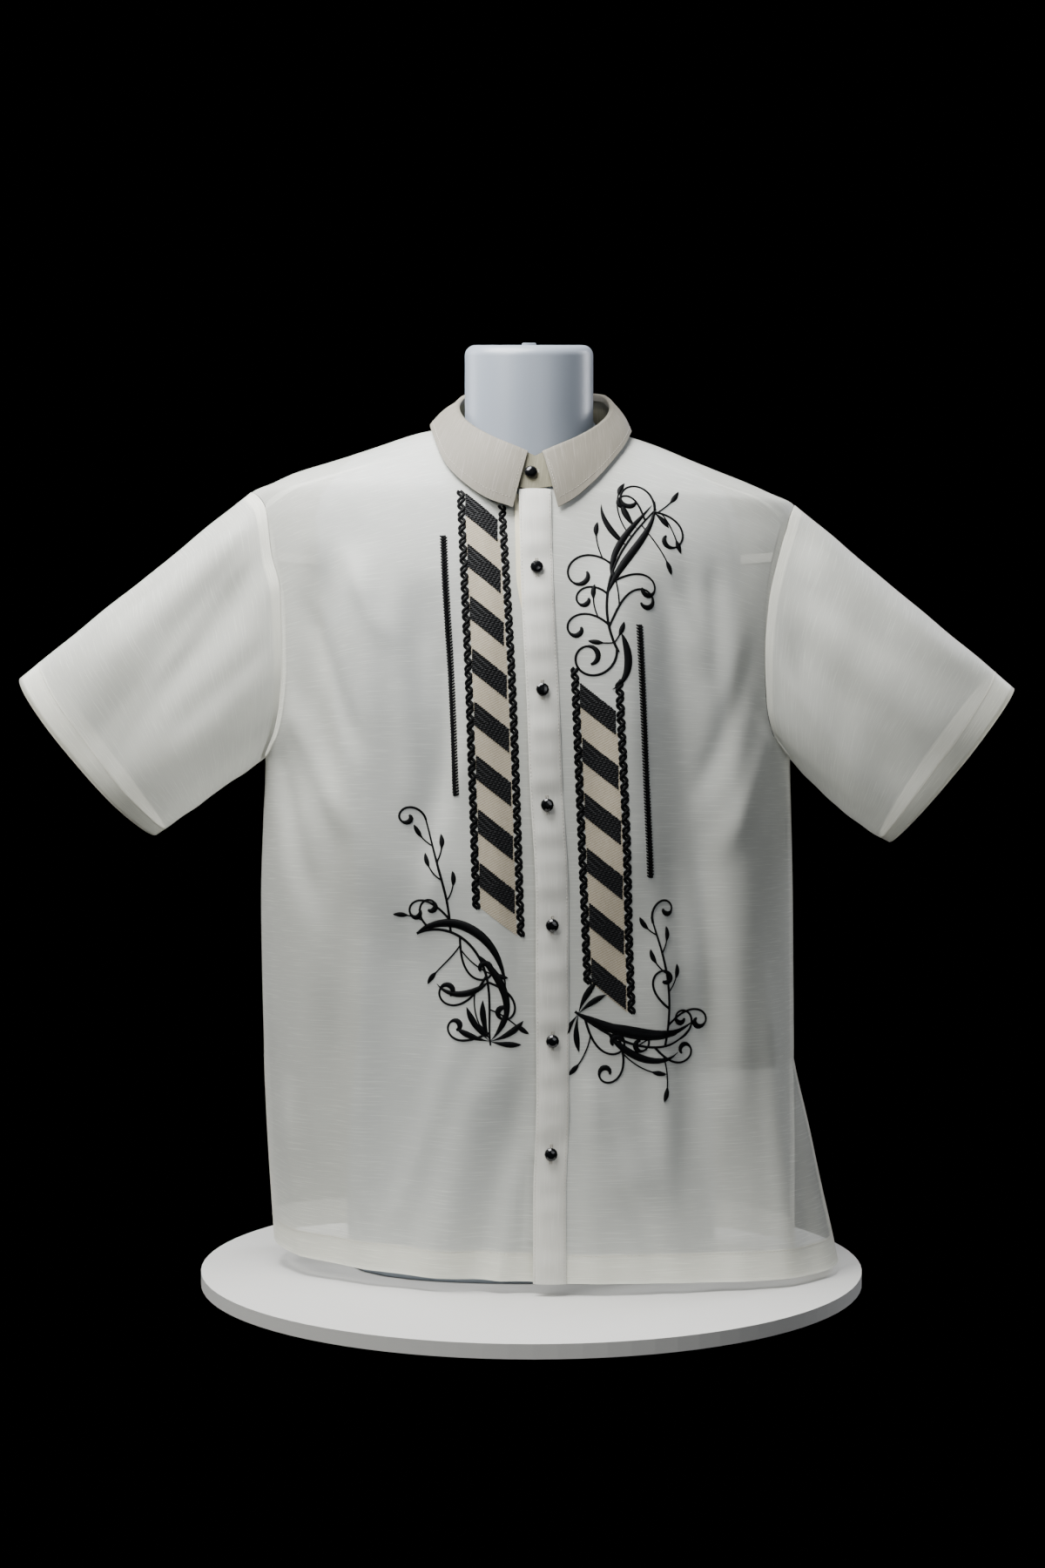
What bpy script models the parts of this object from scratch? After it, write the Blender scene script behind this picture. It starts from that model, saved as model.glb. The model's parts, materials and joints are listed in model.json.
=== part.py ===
"""Short-sleeved barong tagalog shirt on a limbless dress form.

Metres, +Z up, the shirt's front towards -Y, the origin at the middle of the form's flat base.
"Left" and "right" in the sizes are the viewer's, -X and +X. In the names of the pieces they are
the wearer's, as a tailor uses them, so front_left lies at +X.

Every level section of the shirt's body is half an ellipse in front and half an ellipse behind.
The pattern pieces are grids of points on that surface, each with its own wall inside it.
"""

import math
from collections import namedtuple

import bmesh
import bpy
from mathutils import Vector

FRONT, BACK = -1, 1
LEFT, RIGHT = -1, 1

# Cloth
WALL = 0.0012                   # cloth and seam allowance, as one wall
GAP = 0.0003                    # between pieces that are sewn or buttoned together
SEAM = GAP / 2                  # what each of two sewn edges keeps back
SEAM_STEP = 0.0004              # and what an edge keeps back at the armhole

# Heights
HEM = 0.0102
HEM_RISE = 0.0130               # how far the hem rises to the right front's slit
SLIT_TOP = 0.187
UNDERARM = 0.461
ARMPIT = 0.006                  # the lowest curve of the armhole, where it turns to the side seam
NECK_FRONT = 0.693
NECK_SIDE = {LEFT: 0.7635, RIGHT: 0.7590}
NECK_BACK = 0.7700
NECK_WIDTH = 0.080              # half the neckline's width
SEAM_END = {LEFT: 0.6843, RIGHT: 0.6690}        # the shoulder seam where it meets the armhole
SEAM_SHARE = 0.86               # the share of the neckline that lies in front of that seam
YOKE_BACK = 0.655

# Placket, button band and buttons
PLACKET_WIDTH = 0.028
BAND_SHOWS = 0.0040             # how far the band peeps out beside the placket at the neck
OVERLAP = 0.026                 # how far the right front runs in under the placket
SINK = 0.024                    # the width over which it sinks to pass under
SINK_END = 0.0100               # and how far outside the placket it has sunk
NECK_EASE = 0.0012              # more room between the layers where they curve in to the neck
BUTTON_RADIUS = 0.00575
BUTTON_HEIGHT = 0.0042
BUTTON_SIDES = 12

# The left front's corner at the open slit swings out and forward
FLARE_WIDTH = 0.036
FLARE_DEPTH = 0.006
FLARE_SQUARE = 0.6
FLARE_TURN = math.radians(7)
SLIT_TURN = math.radians(2.5)

# Sleeves
SLEEVE_ROWS = 12
SLEEVE_FULLNESS = 0.012

# Collar
STAND_TOP_CENTRE = 0.003
STAND_TOP_WIDTH = 0.0710
STAND_TOP_FRONT = 0.0750
STAND_TOP_BACK = 0.0640
STAND_OVERLAP = 0.0115
STAND_STEP = 0.0010             # each end of the stand moves in or out by this to pass the other
COLLAR_LIFT = 0.0030            # the fall's lower edge above the shirt
SHOULDER_LIFT = 0.0020          # and more of it where it crosses the shoulder
COLLAR_EASE = 0.0007            # between the fall and the stand inside it
STAND_LIFT = (0.0024, 0.0009)   # the stand above the neckline, in front and from the sides back
COLLAR_TUCK = 0.006             # how far the fall reaches down inside the stand
COLLAR_BULGE = 0.0020

# Dress form
FORM_SIDES = 40
NECK_CENTRE = (-0.002, -0.004)
STUB_RADIUS = 0.0065
STUB_HEIGHT = 0.0025

def table(columns, *rows):
    """Rows with named columns, as one list for each column."""
    names = columns.split()
    return {name: [row[number] for row in rows] for number, name in enumerate(names)}


# Half widths to each side and depths to the front and back, by height
BODY = table(
    "height left   right  front  back",
    (0.000, 0.2350, 0.2430, 0.1350, 0.1300),
    (0.100, 0.2410, 0.2425, 0.1350, 0.1290),
    (0.187, 0.2448, 0.2410, 0.1350, 0.1270),
    (0.260, 0.2470, 0.2405, 0.1350, 0.1250),
    (0.330, 0.2480, 0.2400, 0.1350, 0.1230),
    (0.400, 0.2460, 0.2388, 0.1345, 0.1220),
    (0.458, 0.2440, 0.2376, 0.1330, 0.1220),
    (0.500, 0.2460, 0.2400, 0.1310, 0.1220),
    (0.550, 0.2505, 0.2425, 0.1260, 0.1215),
    (0.600, 0.2555, 0.2465, 0.1170, 0.1195),
    (0.650, 0.2630, 0.2510, 0.1035, 0.1140),
    (0.676, 0.2645, 0.2480, 0.0945, 0.1085),
    (0.6922, 0.2620, 0.2416, 0.0880, 0.1035),
    (0.7034, 0.2576, 0.2190, 0.0822, 0.0990),
    (0.7122, 0.2384, 0.1995, 0.0772, 0.0955),
    (0.7210, 0.2192, 0.1775, 0.0712, 0.0915),
    (0.7330, 0.1808, 0.1480, 0.0612, 0.0860),
    (0.7458, 0.1424, 0.1180, 0.0480, 0.0795),
    (0.7560, 0.1130, 0.0888, 0.0352, 0.0740),
    (0.7590, 0.1020, 0.0800, 0.0320, 0.0722),
    (0.7635, 0.0800, 0.0740, 0.0300, 0.0700),
    (0.7700, 0.0720, 0.0700, 0.0290, 0.0660),
    (0.7800, 0.0600, 0.0600, 0.0280, 0.0600),
)

# Where the armhole's edge runs, as a half width, on the front and on the back
ARMHOLE = {
    LEFT: table(
        "height front  back",
        (0.4610, 0.2440, 0.2440),
        (0.4700, 0.2385, 0.2410),
        (0.4850, 0.2310, 0.2360),
        (0.5100, 0.2255, 0.2320),
        (0.5456, 0.2230, 0.2300),
        (0.6100, 0.2245, 0.2320),
        (0.6426, 0.2330, 0.2375),
        (0.6843, 0.2395, 0.2470),
        (0.7034, 0.2576, 0.2576),
    ),
    RIGHT: table(
        "height front  back",
        (0.4610, 0.2376, 0.2376),
        (0.4680, 0.2290, 0.2340),
        (0.4830, 0.2150, 0.2270),
        (0.5100, 0.2090, 0.2220),
        (0.5534, 0.2077, 0.2200),
        (0.5992, 0.2116, 0.2210),
        (0.6420, 0.2220, 0.2260),
        (0.6690, 0.2310, 0.2330),
        (0.6922, 0.2416, 0.2416),
    ),
}

# The neckline in front, from the centre to the shoulder, as shares of its width and its rise
NECKLINE = table(
    "share along rise",
    (0.00, 0.000, 0.000),
    (0.25, 0.300, 0.070),
    (0.50, 0.580, 0.240),
    (0.75, 0.840, 0.520),
    (0.90, 0.955, 0.790),
    (1.00, 1.000, 1.000),
)

# The placket's middle, by height
PLACKET = table(
    "height middle",
    (0.000, 0.0151),
    (0.079, 0.0151),
    (0.165, 0.0178),
    (0.286, 0.0174),
    (0.333, 0.0174),
    (0.439, 0.0121),
    (0.518, 0.0092),
    (0.590, 0.0055),
    (0.626, 0.0043),
    (0.700, 0.0027),
)

# Buttons down the placket, and the one on the stand
BUTTON_HEIGHTS = (0.6245, 0.5180, 0.4190, 0.3160, 0.2170, 0.1205)
STAND_BUTTON = (-0.0006, 0.7105)

# Soft folds: a ridge has a positive depth, a trough a negative one
Fold = namedtuple("Fold", "face x0 z0 x1 z1 width depth")
FOLDS = (
    Fold(FRONT, -0.155, 0.700, -0.138, 0.330, 0.024, 0.0060),
    Fold(FRONT, -0.190, 0.670, -0.186, 0.420, 0.020, -0.0050),
    Fold(FRONT, -0.092, 0.600, -0.080, 0.380, 0.026, -0.0075),
    Fold(FRONT, -0.210, 0.420, -0.190, 0.060, 0.026, 0.0050),
    Fold(FRONT, -0.110, 0.330, -0.120, 0.030, 0.030, -0.0050),
    Fold(FRONT, -0.038, 0.200, -0.085, 0.010, 0.020, 0.0070),
    Fold(FRONT, -0.015, 0.170, -0.052, -0.010, 0.017, -0.0080),
    Fold(FRONT, 0.075, 0.640, 0.090, 0.330, 0.026, 0.0050),
    Fold(FRONT, 0.130, 0.660, 0.135, 0.300, 0.026, -0.0055),
    Fold(FRONT, 0.175, 0.560, 0.185, 0.150, 0.024, 0.0055),
    Fold(FRONT, 0.029, 0.190, 0.090, 0.080, 0.020, 0.0065),
    Fold(FRONT, 0.130, 0.250, 0.160, 0.000, 0.028, -0.0060),
    Fold(BACK, -0.170, 0.600, -0.180, 0.000, 0.026, 0.0080),
    Fold(BACK, -0.115, 0.620, -0.120, 0.020, 0.026, -0.0070),
    Fold(BACK, -0.060, 0.640, -0.062, 0.060, 0.026, 0.0070),
    Fold(BACK, 0.010, 0.600, -0.004, 0.000, 0.026, -0.0060),
    Fold(BACK, 0.070, 0.630, 0.078, 0.020, 0.026, 0.0080),
    Fold(BACK, 0.130, 0.600, 0.135, 0.050, 0.026, -0.0070),
    Fold(BACK, 0.185, 0.560, 0.190, 0.000, 0.024, 0.0070),
)

# Cuff ends: the top and the bottom of each cuff, half of its depth, and how far its sides bow out
Cuff = namedtuple("Cuff", "top bottom depth forward sag bow")
CUFFS = {
    LEFT: Cuff(
        Vector((-0.4664, 0.0, 0.5346)), Vector((-0.3425, 0.0, 0.3900)), 0.040, -0.010, 0.000, 0.008,
    ),
    RIGHT: Cuff(
        Vector((0.4408, 0.0, 0.5250)), Vector((0.3270, 0.0, 0.3835)), 0.040, -0.010, 0.008, 0.002,
    ),
}

# Soft folds round a sleeve: share of its length, and turn from the top of the shoulder forwards
Crease = namedtuple("Crease", "side row0 turn0 row1 turn1 width depth")
CREASES = (
    Crease(LEFT, 0.00, 30, 0.75, 55, 16, 0.0060),
    Crease(LEFT, 0.05, 62, 0.90, 92, 16, -0.0060),
    Crease(LEFT, 0.30, 125, 1.00, 120, 18, 0.0050),
    Crease(LEFT, 0.10, 250, 0.90, 285, 20, -0.0055),
    Crease(LEFT, 0.10, 310, 0.90, 325, 18, 0.0050),
    Crease(RIGHT, 0.00, 35, 0.80, 40, 16, 0.0050),
    Crease(RIGHT, 0.02, 80, 0.85, 118, 15, -0.0070),
    Crease(RIGHT, 0.20, 62, 0.95, 82, 16, 0.0050),
    Crease(RIGHT, 0.10, 245, 0.90, 280, 20, -0.0055),
    Crease(RIGHT, 0.10, 300, 0.90, 320, 18, 0.0050),
)

# The stand's top edge, by the turn from the front to the back
STAND_TOP = table(
    "turn height",
    (0, 0.7265),
    (10, 0.7325),
    (30, 0.7440),
    (60, 0.7635),
    (90, 0.7835),
    (105, 0.7925),
    (117, 0.7985),
    (140, 0.8030),
    (180, 0.8055),
)

# The fall's lower edge, by the turn from the front to the back, on each side
COLLAR_EDGE = {
    LEFT: table(
        "turn x       height",
        (0, -0.0164, 0.6780),
        (18, -0.0390, 0.6865),
        (40, -0.0588, 0.7004),
        (60, -0.0765, 0.7200),
        (78, -0.0865, 0.7435),
        (92, -0.0915, 0.7600),
        (125, -0.0790, 0.7580),
        (150, -0.0440, 0.7560),
        (180, 0.0000, 0.7550),
    ),
    RIGHT: table(
        "turn x       height",
        (0, 0.0232, 0.6780),
        (18, 0.0370, 0.6865),
        (40, 0.0535, 0.7010),
        (60, 0.0723, 0.7230),
        (78, 0.0850, 0.7420),
        (92, 0.0900, 0.7540),
        (125, 0.0790, 0.7560),
        (150, 0.0440, 0.7555),
        (180, 0.0000, 0.7550),
    ),
}

# The form's torso and shoulders, and its neck
TORSO = table(
    "height left   right  front  back",
    (0.000, 0.1680, 0.1680, 0.0980, 0.0960),
    (0.060, 0.1700, 0.1700, 0.0990, 0.0970),
    (0.140, 0.1660, 0.1660, 0.0970, 0.0950),
    (0.220, 0.1580, 0.1580, 0.0930, 0.0890),
    (0.300, 0.1560, 0.1560, 0.0930, 0.0870),
    (0.400, 0.1660, 0.1660, 0.0980, 0.0930),
    (0.500, 0.1800, 0.1800, 0.1030, 0.1000),
    (0.580, 0.1900, 0.1890, 0.0960, 0.0990),
    (0.640, 0.1970, 0.1930, 0.0850, 0.0930),
    (0.680, 0.1980, 0.1900, 0.0750, 0.0850),
    (0.702, 0.1930, 0.1800, 0.0680, 0.0790),
    (0.716, 0.1820, 0.1640, 0.0580, 0.0720),
    (0.7280, 0.1740, 0.1480, 0.0440, 0.0620),
    (0.7363, 0.1640, 0.1355, 0.0350, 0.0540),
    (0.7437, 0.1425, 0.1175, 0.0290, 0.0480),
    (0.7520, 0.1175, 0.0930, 0.0240, 0.0420),
    (0.7600, 0.0830, 0.0660, 0.0200, 0.0360),
    (0.7700, 0.0400, 0.0400, 0.0200, 0.0300),
)
FORM_NECK = table(
    "height radius",
    (0.700, 0.0560),
    (0.730, 0.0585),
    (0.760, 0.0585),
    (0.790, 0.0580),
    (0.828, 0.0575),
    (0.8340, 0.0560),
    (0.8372, 0.0525),
    (0.8384, 0.0480),
)
NECK_BLEND = 8

COLOURS = {
    "cloth": (0.80, 0.79, 0.74),
    "trim": (0.84, 0.82, 0.76),
    "button": (0.012, 0.012, 0.014),
    "form": (0.72, 0.75, 0.79),
}


def read(columns, name, at, key="height"):
    """A column's value at a height, on a smooth curve that never overshoots its rows."""
    keys = columns[key]
    values = columns[name]
    if at <= keys[0]:
        return values[0]
    if at >= keys[-1]:
        return values[-1]
    row = max(number for number in range(len(keys) - 1) if keys[number] <= at)
    slopes = [
        (values[number + 1] - values[number]) / (keys[number + 1] - keys[number])
        for number in range(len(keys) - 1)
    ]

    def tangent(number):
        if number in (0, len(keys) - 1):
            return slopes[0] if number == 0 else slopes[-1]
        before = slopes[number - 1]
        after = slopes[number]
        if before * after <= 0:
            return 0.0
        return 2 * before * after / (before + after)

    span = keys[row + 1] - keys[row]
    part = (at - keys[row]) / span
    start, end = values[row], values[row + 1]
    bend = part * part * (3 - 2 * part)
    lift = part * (1 - part) ** 2 * span * tangent(row)
    drop = part * part * (1 - part) * span * tangent(row + 1)
    return start + (end - start) * bend + lift - drop


def ease(value):
    """0 below 0, 1 above 1, smooth between."""
    value = min(max(value, 0.0), 1.0)
    return value * value * (3 - 2 * value)


def section(face, side, height):
    """Half width, depth and squareness of the shirt's level section."""
    width = read(BODY, "left" if side == LEFT else "right", height)
    depth = read(BODY, "front" if face == FRONT else "back", height)
    power = 2.0
    low = ease((0.45 - height) / 0.30)
    if face == FRONT and side == LEFT:
        power -= 0.12 * low
    else:
        power += 0.15 * low
    if face == FRONT and side == RIGHT:
        swing = max(0.0, (SLIT_TOP - height) / (SLIT_TOP - HEM))
        width += FLARE_WIDTH * swing
        depth += FLARE_DEPTH * swing
        power += FLARE_SQUARE * swing
    return width, depth, power


def level(face, x, y, height):
    """1 on the shirt's surface, more outside it."""
    width, depth, power = section(face, RIGHT if x > 0 else LEFT, height)
    return (abs(x) / width) ** power + (abs(y) / depth) ** power


def outward(face, point):
    """The direction straight out of the shirt's surface."""
    step = 0.0004
    x, y, height = point
    y = face * max(abs(y), 1e-6)
    slope = Vector((
        level(face, x + step, y, height) - level(face, x - step, y, height),
        (level(face, x, y + step, height) - level(face, x, y - step, height)) if abs(y) > step else 0.0,
        level(face, x, y, height + step) - level(face, x, y, height - step),
    ))
    return slope.normalized()


def body_at_turn(face, turn, height):
    """A point of the surface, the turn 0 in the middle and a right angle at the side."""
    width, depth, power = section(face, RIGHT if turn > 0 else LEFT, height)
    x = math.copysign(width * abs(math.sin(turn)) ** (2 / power), turn)
    y = face * depth * max(math.cos(turn), 0.0) ** (2 / power)
    return Vector((x, y, height))


def turn_of(face, x, height):
    """The turn at which the surface has this x."""
    width, _, power = section(face, RIGHT if x > 0 else LEFT, height)
    share = min(abs(x) / width, 1.0)
    return math.copysign(math.asin(min(share ** (power / 2), 1.0)), x)


def body_at(face, x, height):
    return body_at_turn(face, turn_of(face, x, height), height)


def ridge(x):
    """The height of the shoulder's ridge at this x."""
    side = "right" if x > 0 else "left"
    low, high = 0.67, 0.78
    for _ in range(30):
        middle = (low + high) / 2
        if read(BODY, side, middle) > abs(x):
            low = middle
        else:
            high = middle
    return low


def folds(face, point):
    """How far the folds lift the cloth here."""
    lift = 0.0
    for fold in FOLDS:
        if fold.face != face:
            continue
        run = Vector((fold.x1 - fold.x0, fold.z1 - fold.z0))
        away = Vector((point.x - fold.x0, point.z - fold.z0))
        along = away.dot(run) / run.length_squared
        across = (away - run * along).length
        ends = ease((along + 0.15) / 0.35) * ease((1.15 - along) / 0.35)
        lift += fold.depth * ends * math.exp(-((across / fold.width) ** 2))
    if face == FRONT:
        lift *= ease((abs(point.x - placket_middle(point.z)) - PLACKET_WIDTH / 2) / 0.022)
    return lift


def two_sided(face, point, out, fade=1.0):
    """The outer and the inner point of a wall, its outer side this far out of the surface."""
    normal = outward(face, point)
    outer = point + normal * (out + fade * folds(face, point))
    return outer, outer - normal * WALL


def material(name):
    made = bpy.data.materials.get(name)
    if made is None:
        made = bpy.data.materials.new(name)
        made.use_nodes = True
        surface = made.node_tree.nodes["Principled BSDF"]
        surface.inputs["Base Color"].default_value = (*COLOURS[name], 1.0)
        surface.inputs["Roughness"].default_value = 0.2 if name == "button" else 0.7
    return made


def add_mesh(name, points, faces, colour):
    mesh = bpy.data.meshes.new(name)
    mesh.from_pydata([tuple(point) for point in points], [], faces)
    shaped = bmesh.new()
    shaped.from_mesh(mesh)
    bmesh.ops.recalc_face_normals(shaped, faces=shaped.faces)
    if shaped.calc_volume(signed=True) < 0:
        bmesh.ops.reverse_faces(shaped, faces=shaped.faces)
    bmesh.ops.triangulate(shaped, faces=shaped.faces)
    shaped.to_mesh(mesh)
    shaped.free()
    mesh.shade_smooth()
    mesh.set_sharp_from_angle(angle=math.radians(50))
    mesh.materials.append(material(colour))
    made = bpy.data.objects.new(name, mesh)
    bpy.context.scene.collection.objects.link(made)
    return made


def add_wall(name, grid, colour, wraps=False, holes=lambda row, column: False):
    """A closed wall from rows of (outer, inner) points, its edges closed by narrow faces."""
    rows, columns = len(grid), len(grid[0])
    points = []
    for side in (0, 1):
        points += [pair[side] for row in grid for pair in row]
    layer = rows * columns
    cells = []
    for row in range(rows - 1):
        for column in range(columns if wraps else columns - 1):
            if holes(row, column):
                continue
            onward = (column + 1) % columns
            here, above = row * columns, (row + 1) * columns
            cells.append((here + column, here + onward, above + onward, above + column))
    walked = {}
    for cell in cells:
        for start, end in zip(cell, cell[1:] + cell[:1]):
            walked[(start, end)] = True
    faces = list(cells)
    faces += [tuple(corner + layer for corner in reversed(cell)) for cell in cells]
    for start, end in walked:
        if (end, start) not in walked:
            faces.append((end, start, start + layer, end + layer))
    used = sorted({corner for face in faces for corner in face})
    place = {corner: number for number, corner in enumerate(used)}
    points = [points[corner] for corner in used]
    faces = [tuple(place[corner] for corner in face) for face in faces]
    return add_mesh(name, points, faces, colour)


def spread(start, end, steps):
    return [start + (end - start) * step / steps for step in range(steps)]


def placket_middle(height):
    return read(PLACKET, "middle", height)


def neckline(face, side, share):
    """A point of the neckline, from the middle (share 0) to the shoulder (share 1)."""
    if face == FRONT:
        along = read(NECKLINE, "along", share, "share")
        rise = read(NECKLINE, "rise", share, "share")
        height = NECK_FRONT + (NECK_SIDE[side] - NECK_FRONT) * rise
    else:
        along = math.sin(share * math.pi / 2)
        height = NECK_BACK + (NECK_SIDE[side] - NECK_BACK) * along ** 3
    return body_at(face, side * NECK_WIDTH * along, height)


def hem_height(face, side, share):
    """The hem rises a little towards the left slit and dips towards the flared corner."""
    if side == LEFT:
        return HEM + HEM_RISE * share ** 1.6
    return HEM - (0.0032 if face == FRONT else 0.0) * ease(share * 1.6)


def armhole_x(face, side, height):
    return side * read(ARMHOLE[side], "front" if face == FRONT else "back", height)


def outer_turn(face, side, height):
    """The turn of a panel's outer edge: the side seam, the slit below it, the armhole above."""
    if height >= UNDERARM:
        turn = abs(turn_of(face, armhole_x(face, side, height), height))
    else:
        turn = math.pi / 2
        opened = max(0.0, (SLIT_TOP - height) / (SLIT_TOP - HEM))
        if face == FRONT and side == RIGHT:
            turn -= FLARE_TURN * opened
        else:
            turn -= SLIT_TURN * opened
    depth = read(BODY, "front" if face == FRONT else "back", height)
    return min(turn, math.pi / 2 - SEAM / depth) - (SEAM / 0.1 if height > UNDERARM else 0)


def shoulder_edge(side, share, lift=0.0):
    """A point of the forward shoulder seam, from the neckline (share 0) to the armhole."""
    start = neckline(FRONT, side, SEAM_SHARE)
    first = turn_of(FRONT, start.x, start.z)
    last = side * outer_turn(FRONT, side, SEAM_END[side])
    height = start.z + (SEAM_END[side] - start.z) * share + lift
    return body_at_turn(FRONT, first + (last - first) * share, height)


# Rows up a front: where its centre edge and its outer edge start, and the rows to the next line
FRONT_ROWS = (
    ("hem", HEM, HEM, 6),
    ("slit", SLIT_TOP, SLIT_TOP, 8),
    ("underarm", UNDERARM, UNDERARM, 1),
    ("armhole", UNDERARM + ARMPIT, UNDERARM + ARMPIT, 7),
    ("neck", NECK_FRONT, 0.632, 6),
)
FRONT_COLUMNS = 11              # beyond the centre columns


def centre_columns(side, first):
    """Where the first columns of a front lie: along or under the placket, and where it sinks."""
    if side == RIGHT:
        return [first, first + PLACKET_WIDTH / 2, first + PLACKET_WIDTH]
    sunk = first - OVERLAP - SINK_END
    return [first, first - OVERLAP / 2, sunk, sunk - SINK]


def front_lines(side):
    """For each row: the height of the centre edge, or the share of the neckline, and the outer height."""
    lines = []
    for line, upper in zip(FRONT_ROWS, FRONT_ROWS[1:]):
        centres = spread(line[1], upper[1], line[3])
        outers = spread(line[2], upper[2], line[3])
        lines += [(centre, None, outer) for centre, outer in zip(centres, outers)]
    _, _, outer, count = FRONT_ROWS[-1]
    shares = spread(0.0, SEAM_SHARE, count) + [SEAM_SHARE]
    outers = spread(outer, SEAM_END[side], count) + [SEAM_END[side]]
    lines += [(None, share, outer) for share, outer in zip(shares, outers)]
    return lines


def front_turns(side, start, outer):
    """The turns of a row's columns, from its centre edge to its outer edge."""
    last = side * outer_turn(FRONT, side, outer)
    inner = [turn_of(FRONT, x, start.z) for x in centre_columns(side, start.x)]
    step = (last - inner[-1]) / FRONT_COLUMNS
    return inner + [inner[-1] + step * column for column in range(1, FRONT_COLUMNS + 1)]


def seam_shares(side):
    """Where the columns of a front meet the shoulder seam, from 0 at the neck to 1."""
    turns = front_turns(side, neckline(FRONT, side, SEAM_SHARE), SEAM_END[side])
    return [(turn - turns[0]) / (turns[-1] - turns[0]) for turn in turns]


def front_panel(name, side):
    """One front, from its centre edge to the side seam and armhole, and up to the shoulder."""
    grid = []
    for centre, share, outer in front_lines(side):
        height = NECK_FRONT if share is not None else centre
        edge = placket_middle(height) - PLACKET_WIDTH / 2
        start = Vector((edge + (OVERLAP if side == LEFT else 0.0), 0.0, height))
        if share:
            start = neckline(FRONT, side, share)
        turns = front_turns(side, start, outer)
        row = []
        for turn in turns:
            across = (turn - turns[0]) / (turns[-1] - turns[0])
            if share == SEAM_SHARE:
                point = shoulder_edge(side, across, -SEAM * 1.6)
            else:
                height = start.z + (outer - start.z) * across
                if start.z < SLIT_TOP:
                    lift = hem_height(FRONT, side, across) - HEM
                    height += lift * (SLIT_TOP - start.z) / (SLIT_TOP - HEM)
                point = body_at_turn(FRONT, turn, height)
            row.append(two_sided(FRONT, point, *front_lift(side, point, across, outer)))
        grid.append(row)
    return add_wall(name, grid, "cloth")


def front_lift(side, point, across, outer):
    """How far a front lies out of the surface, and how much of the folds it shows here."""
    out = 0.0
    if side == LEFT:
        reach = placket_middle(point.z) - PLACKET_WIDTH / 2
        sunk = 2 * WALL + 2 * GAP + neck_ease(point.z)
        out = -sunk * ease((point.x - reach + SINK_END + SINK) / SINK)
    fade = 1 - ease((across - 0.80) / 0.20) * ease((outer - 0.17) / 0.05)
    return out, fade * fold_fade(point.z)


def neck_ease(height):
    return NECK_EASE * ease((height - 0.650) / 0.03)


def fold_fade(height):
    """The folds die away towards the shoulders."""
    return 1 - ease((height - 0.60) / 0.06)


# Rows up the back: where each part starts, and its rows
BACK_ROWS = (
    ("hem", HEM, 6),
    ("slit", SLIT_TOP, 8),
    ("underarm", UNDERARM, 1),
    ("armhole", UNDERARM + ARMPIT, 6),
    ("yoke", YOKE_BACK - SEAM, 1),
)
BACK_COLUMNS = 24


def back_heights():
    heights = []
    for line, upper in zip(BACK_ROWS, BACK_ROWS[1:]):
        heights += spread(line[1], upper[1], line[2])
    return heights + [BACK_ROWS[-1][1]]


def back_panel():
    grid = []
    for base in back_heights():
        row = []
        for column in range(BACK_COLUMNS + 1):
            across = 1 - column / BACK_COLUMNS * 2
            side = RIGHT if across > 0 else LEFT
            height = base
            if base < SLIT_TOP:
                lift = hem_height(BACK, side, abs(across)) - HEM
                height += lift * (SLIT_TOP - base) / (SLIT_TOP - HEM)
            point = body_at_turn(BACK, across * outer_turn(BACK, side, height), height)
            fade = 1 - ease((abs(across) - 0.84) / 0.16) * ease((height - 0.17) / 0.05)
            row.append(two_sided(BACK, point, 0.0, fade * fold_fade(height)))
        grid.append(row)
    return add_wall("back", grid, "cloth")


YOKE_NECK_COLUMNS = 8
YOKE_FRONT_ROWS = 3
YOKE_BACK_ROWS = 5
ARMHOLE_TOP = {LEFT: 0.7034, RIGHT: 0.6922}


def yoke():
    """One piece over both shoulders, from the forward seams to the seam across the back."""
    columns = [(LEFT, share) for share in reversed(seam_shares(LEFT))]
    first = len(columns) - 1
    columns += [(None, step / YOKE_NECK_COLUMNS * 2 - 1) for step in range(1, YOKE_NECK_COLUMNS)]
    columns += [(RIGHT, share) for share in seam_shares(RIGHT)]
    grid = []
    for row in range(YOKE_BACK_ROWS + YOKE_FRONT_ROWS + 1):
        line = []
        for side, share in columns:
            if side is None:
                line.append(yoke_behind_neck(share, min(1.0, row / YOKE_BACK_ROWS)))
            elif row <= YOKE_BACK_ROWS:
                line.append(yoke_behind_shoulder(side, share, row / YOKE_BACK_ROWS))
            else:
                part = (row - YOKE_BACK_ROWS) / YOKE_FRONT_ROWS
                line.append(yoke_before_shoulder(side, share, part))
        grid.append(line)

    def neck_hole(row, column):
        return row >= YOKE_BACK_ROWS and first <= column < first + YOKE_NECK_COLUMNS

    return add_wall("yoke", grid, "cloth", holes=neck_hole)


def yoke_behind_neck(across, part):
    side = RIGHT if across > 0 else LEFT
    neck = neckline(BACK, side, math.asin(abs(across)) / (math.pi / 2))
    low = YOKE_BACK + SEAM
    height = neck.z + (low - neck.z) * (1 - part) ** 1.6
    return two_sided(BACK, body_at(BACK, neck.x, height), 0.0, 0.0)


def yoke_behind_shoulder(side, share, part):
    top = ARMHOLE_TOP[side]
    low = YOKE_BACK + SEAM
    edge_height = top + (low - top) * (1 - part) ** 2
    edge = abs(armhole_x(BACK, side, edge_height)) - SEAM_STEP
    crest_x = NECK_WIDTH + (abs(armhole_x(BACK, side, top)) - NECK_WIDTH) * share
    crest = ridge(side * crest_x)
    x = side * (NECK_WIDTH + (edge - NECK_WIDTH) * share)
    height = crest + (low - crest) * (1 - part) ** 2
    return two_sided(BACK, body_at(BACK, x, height), 0.0, 0.0)


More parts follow.
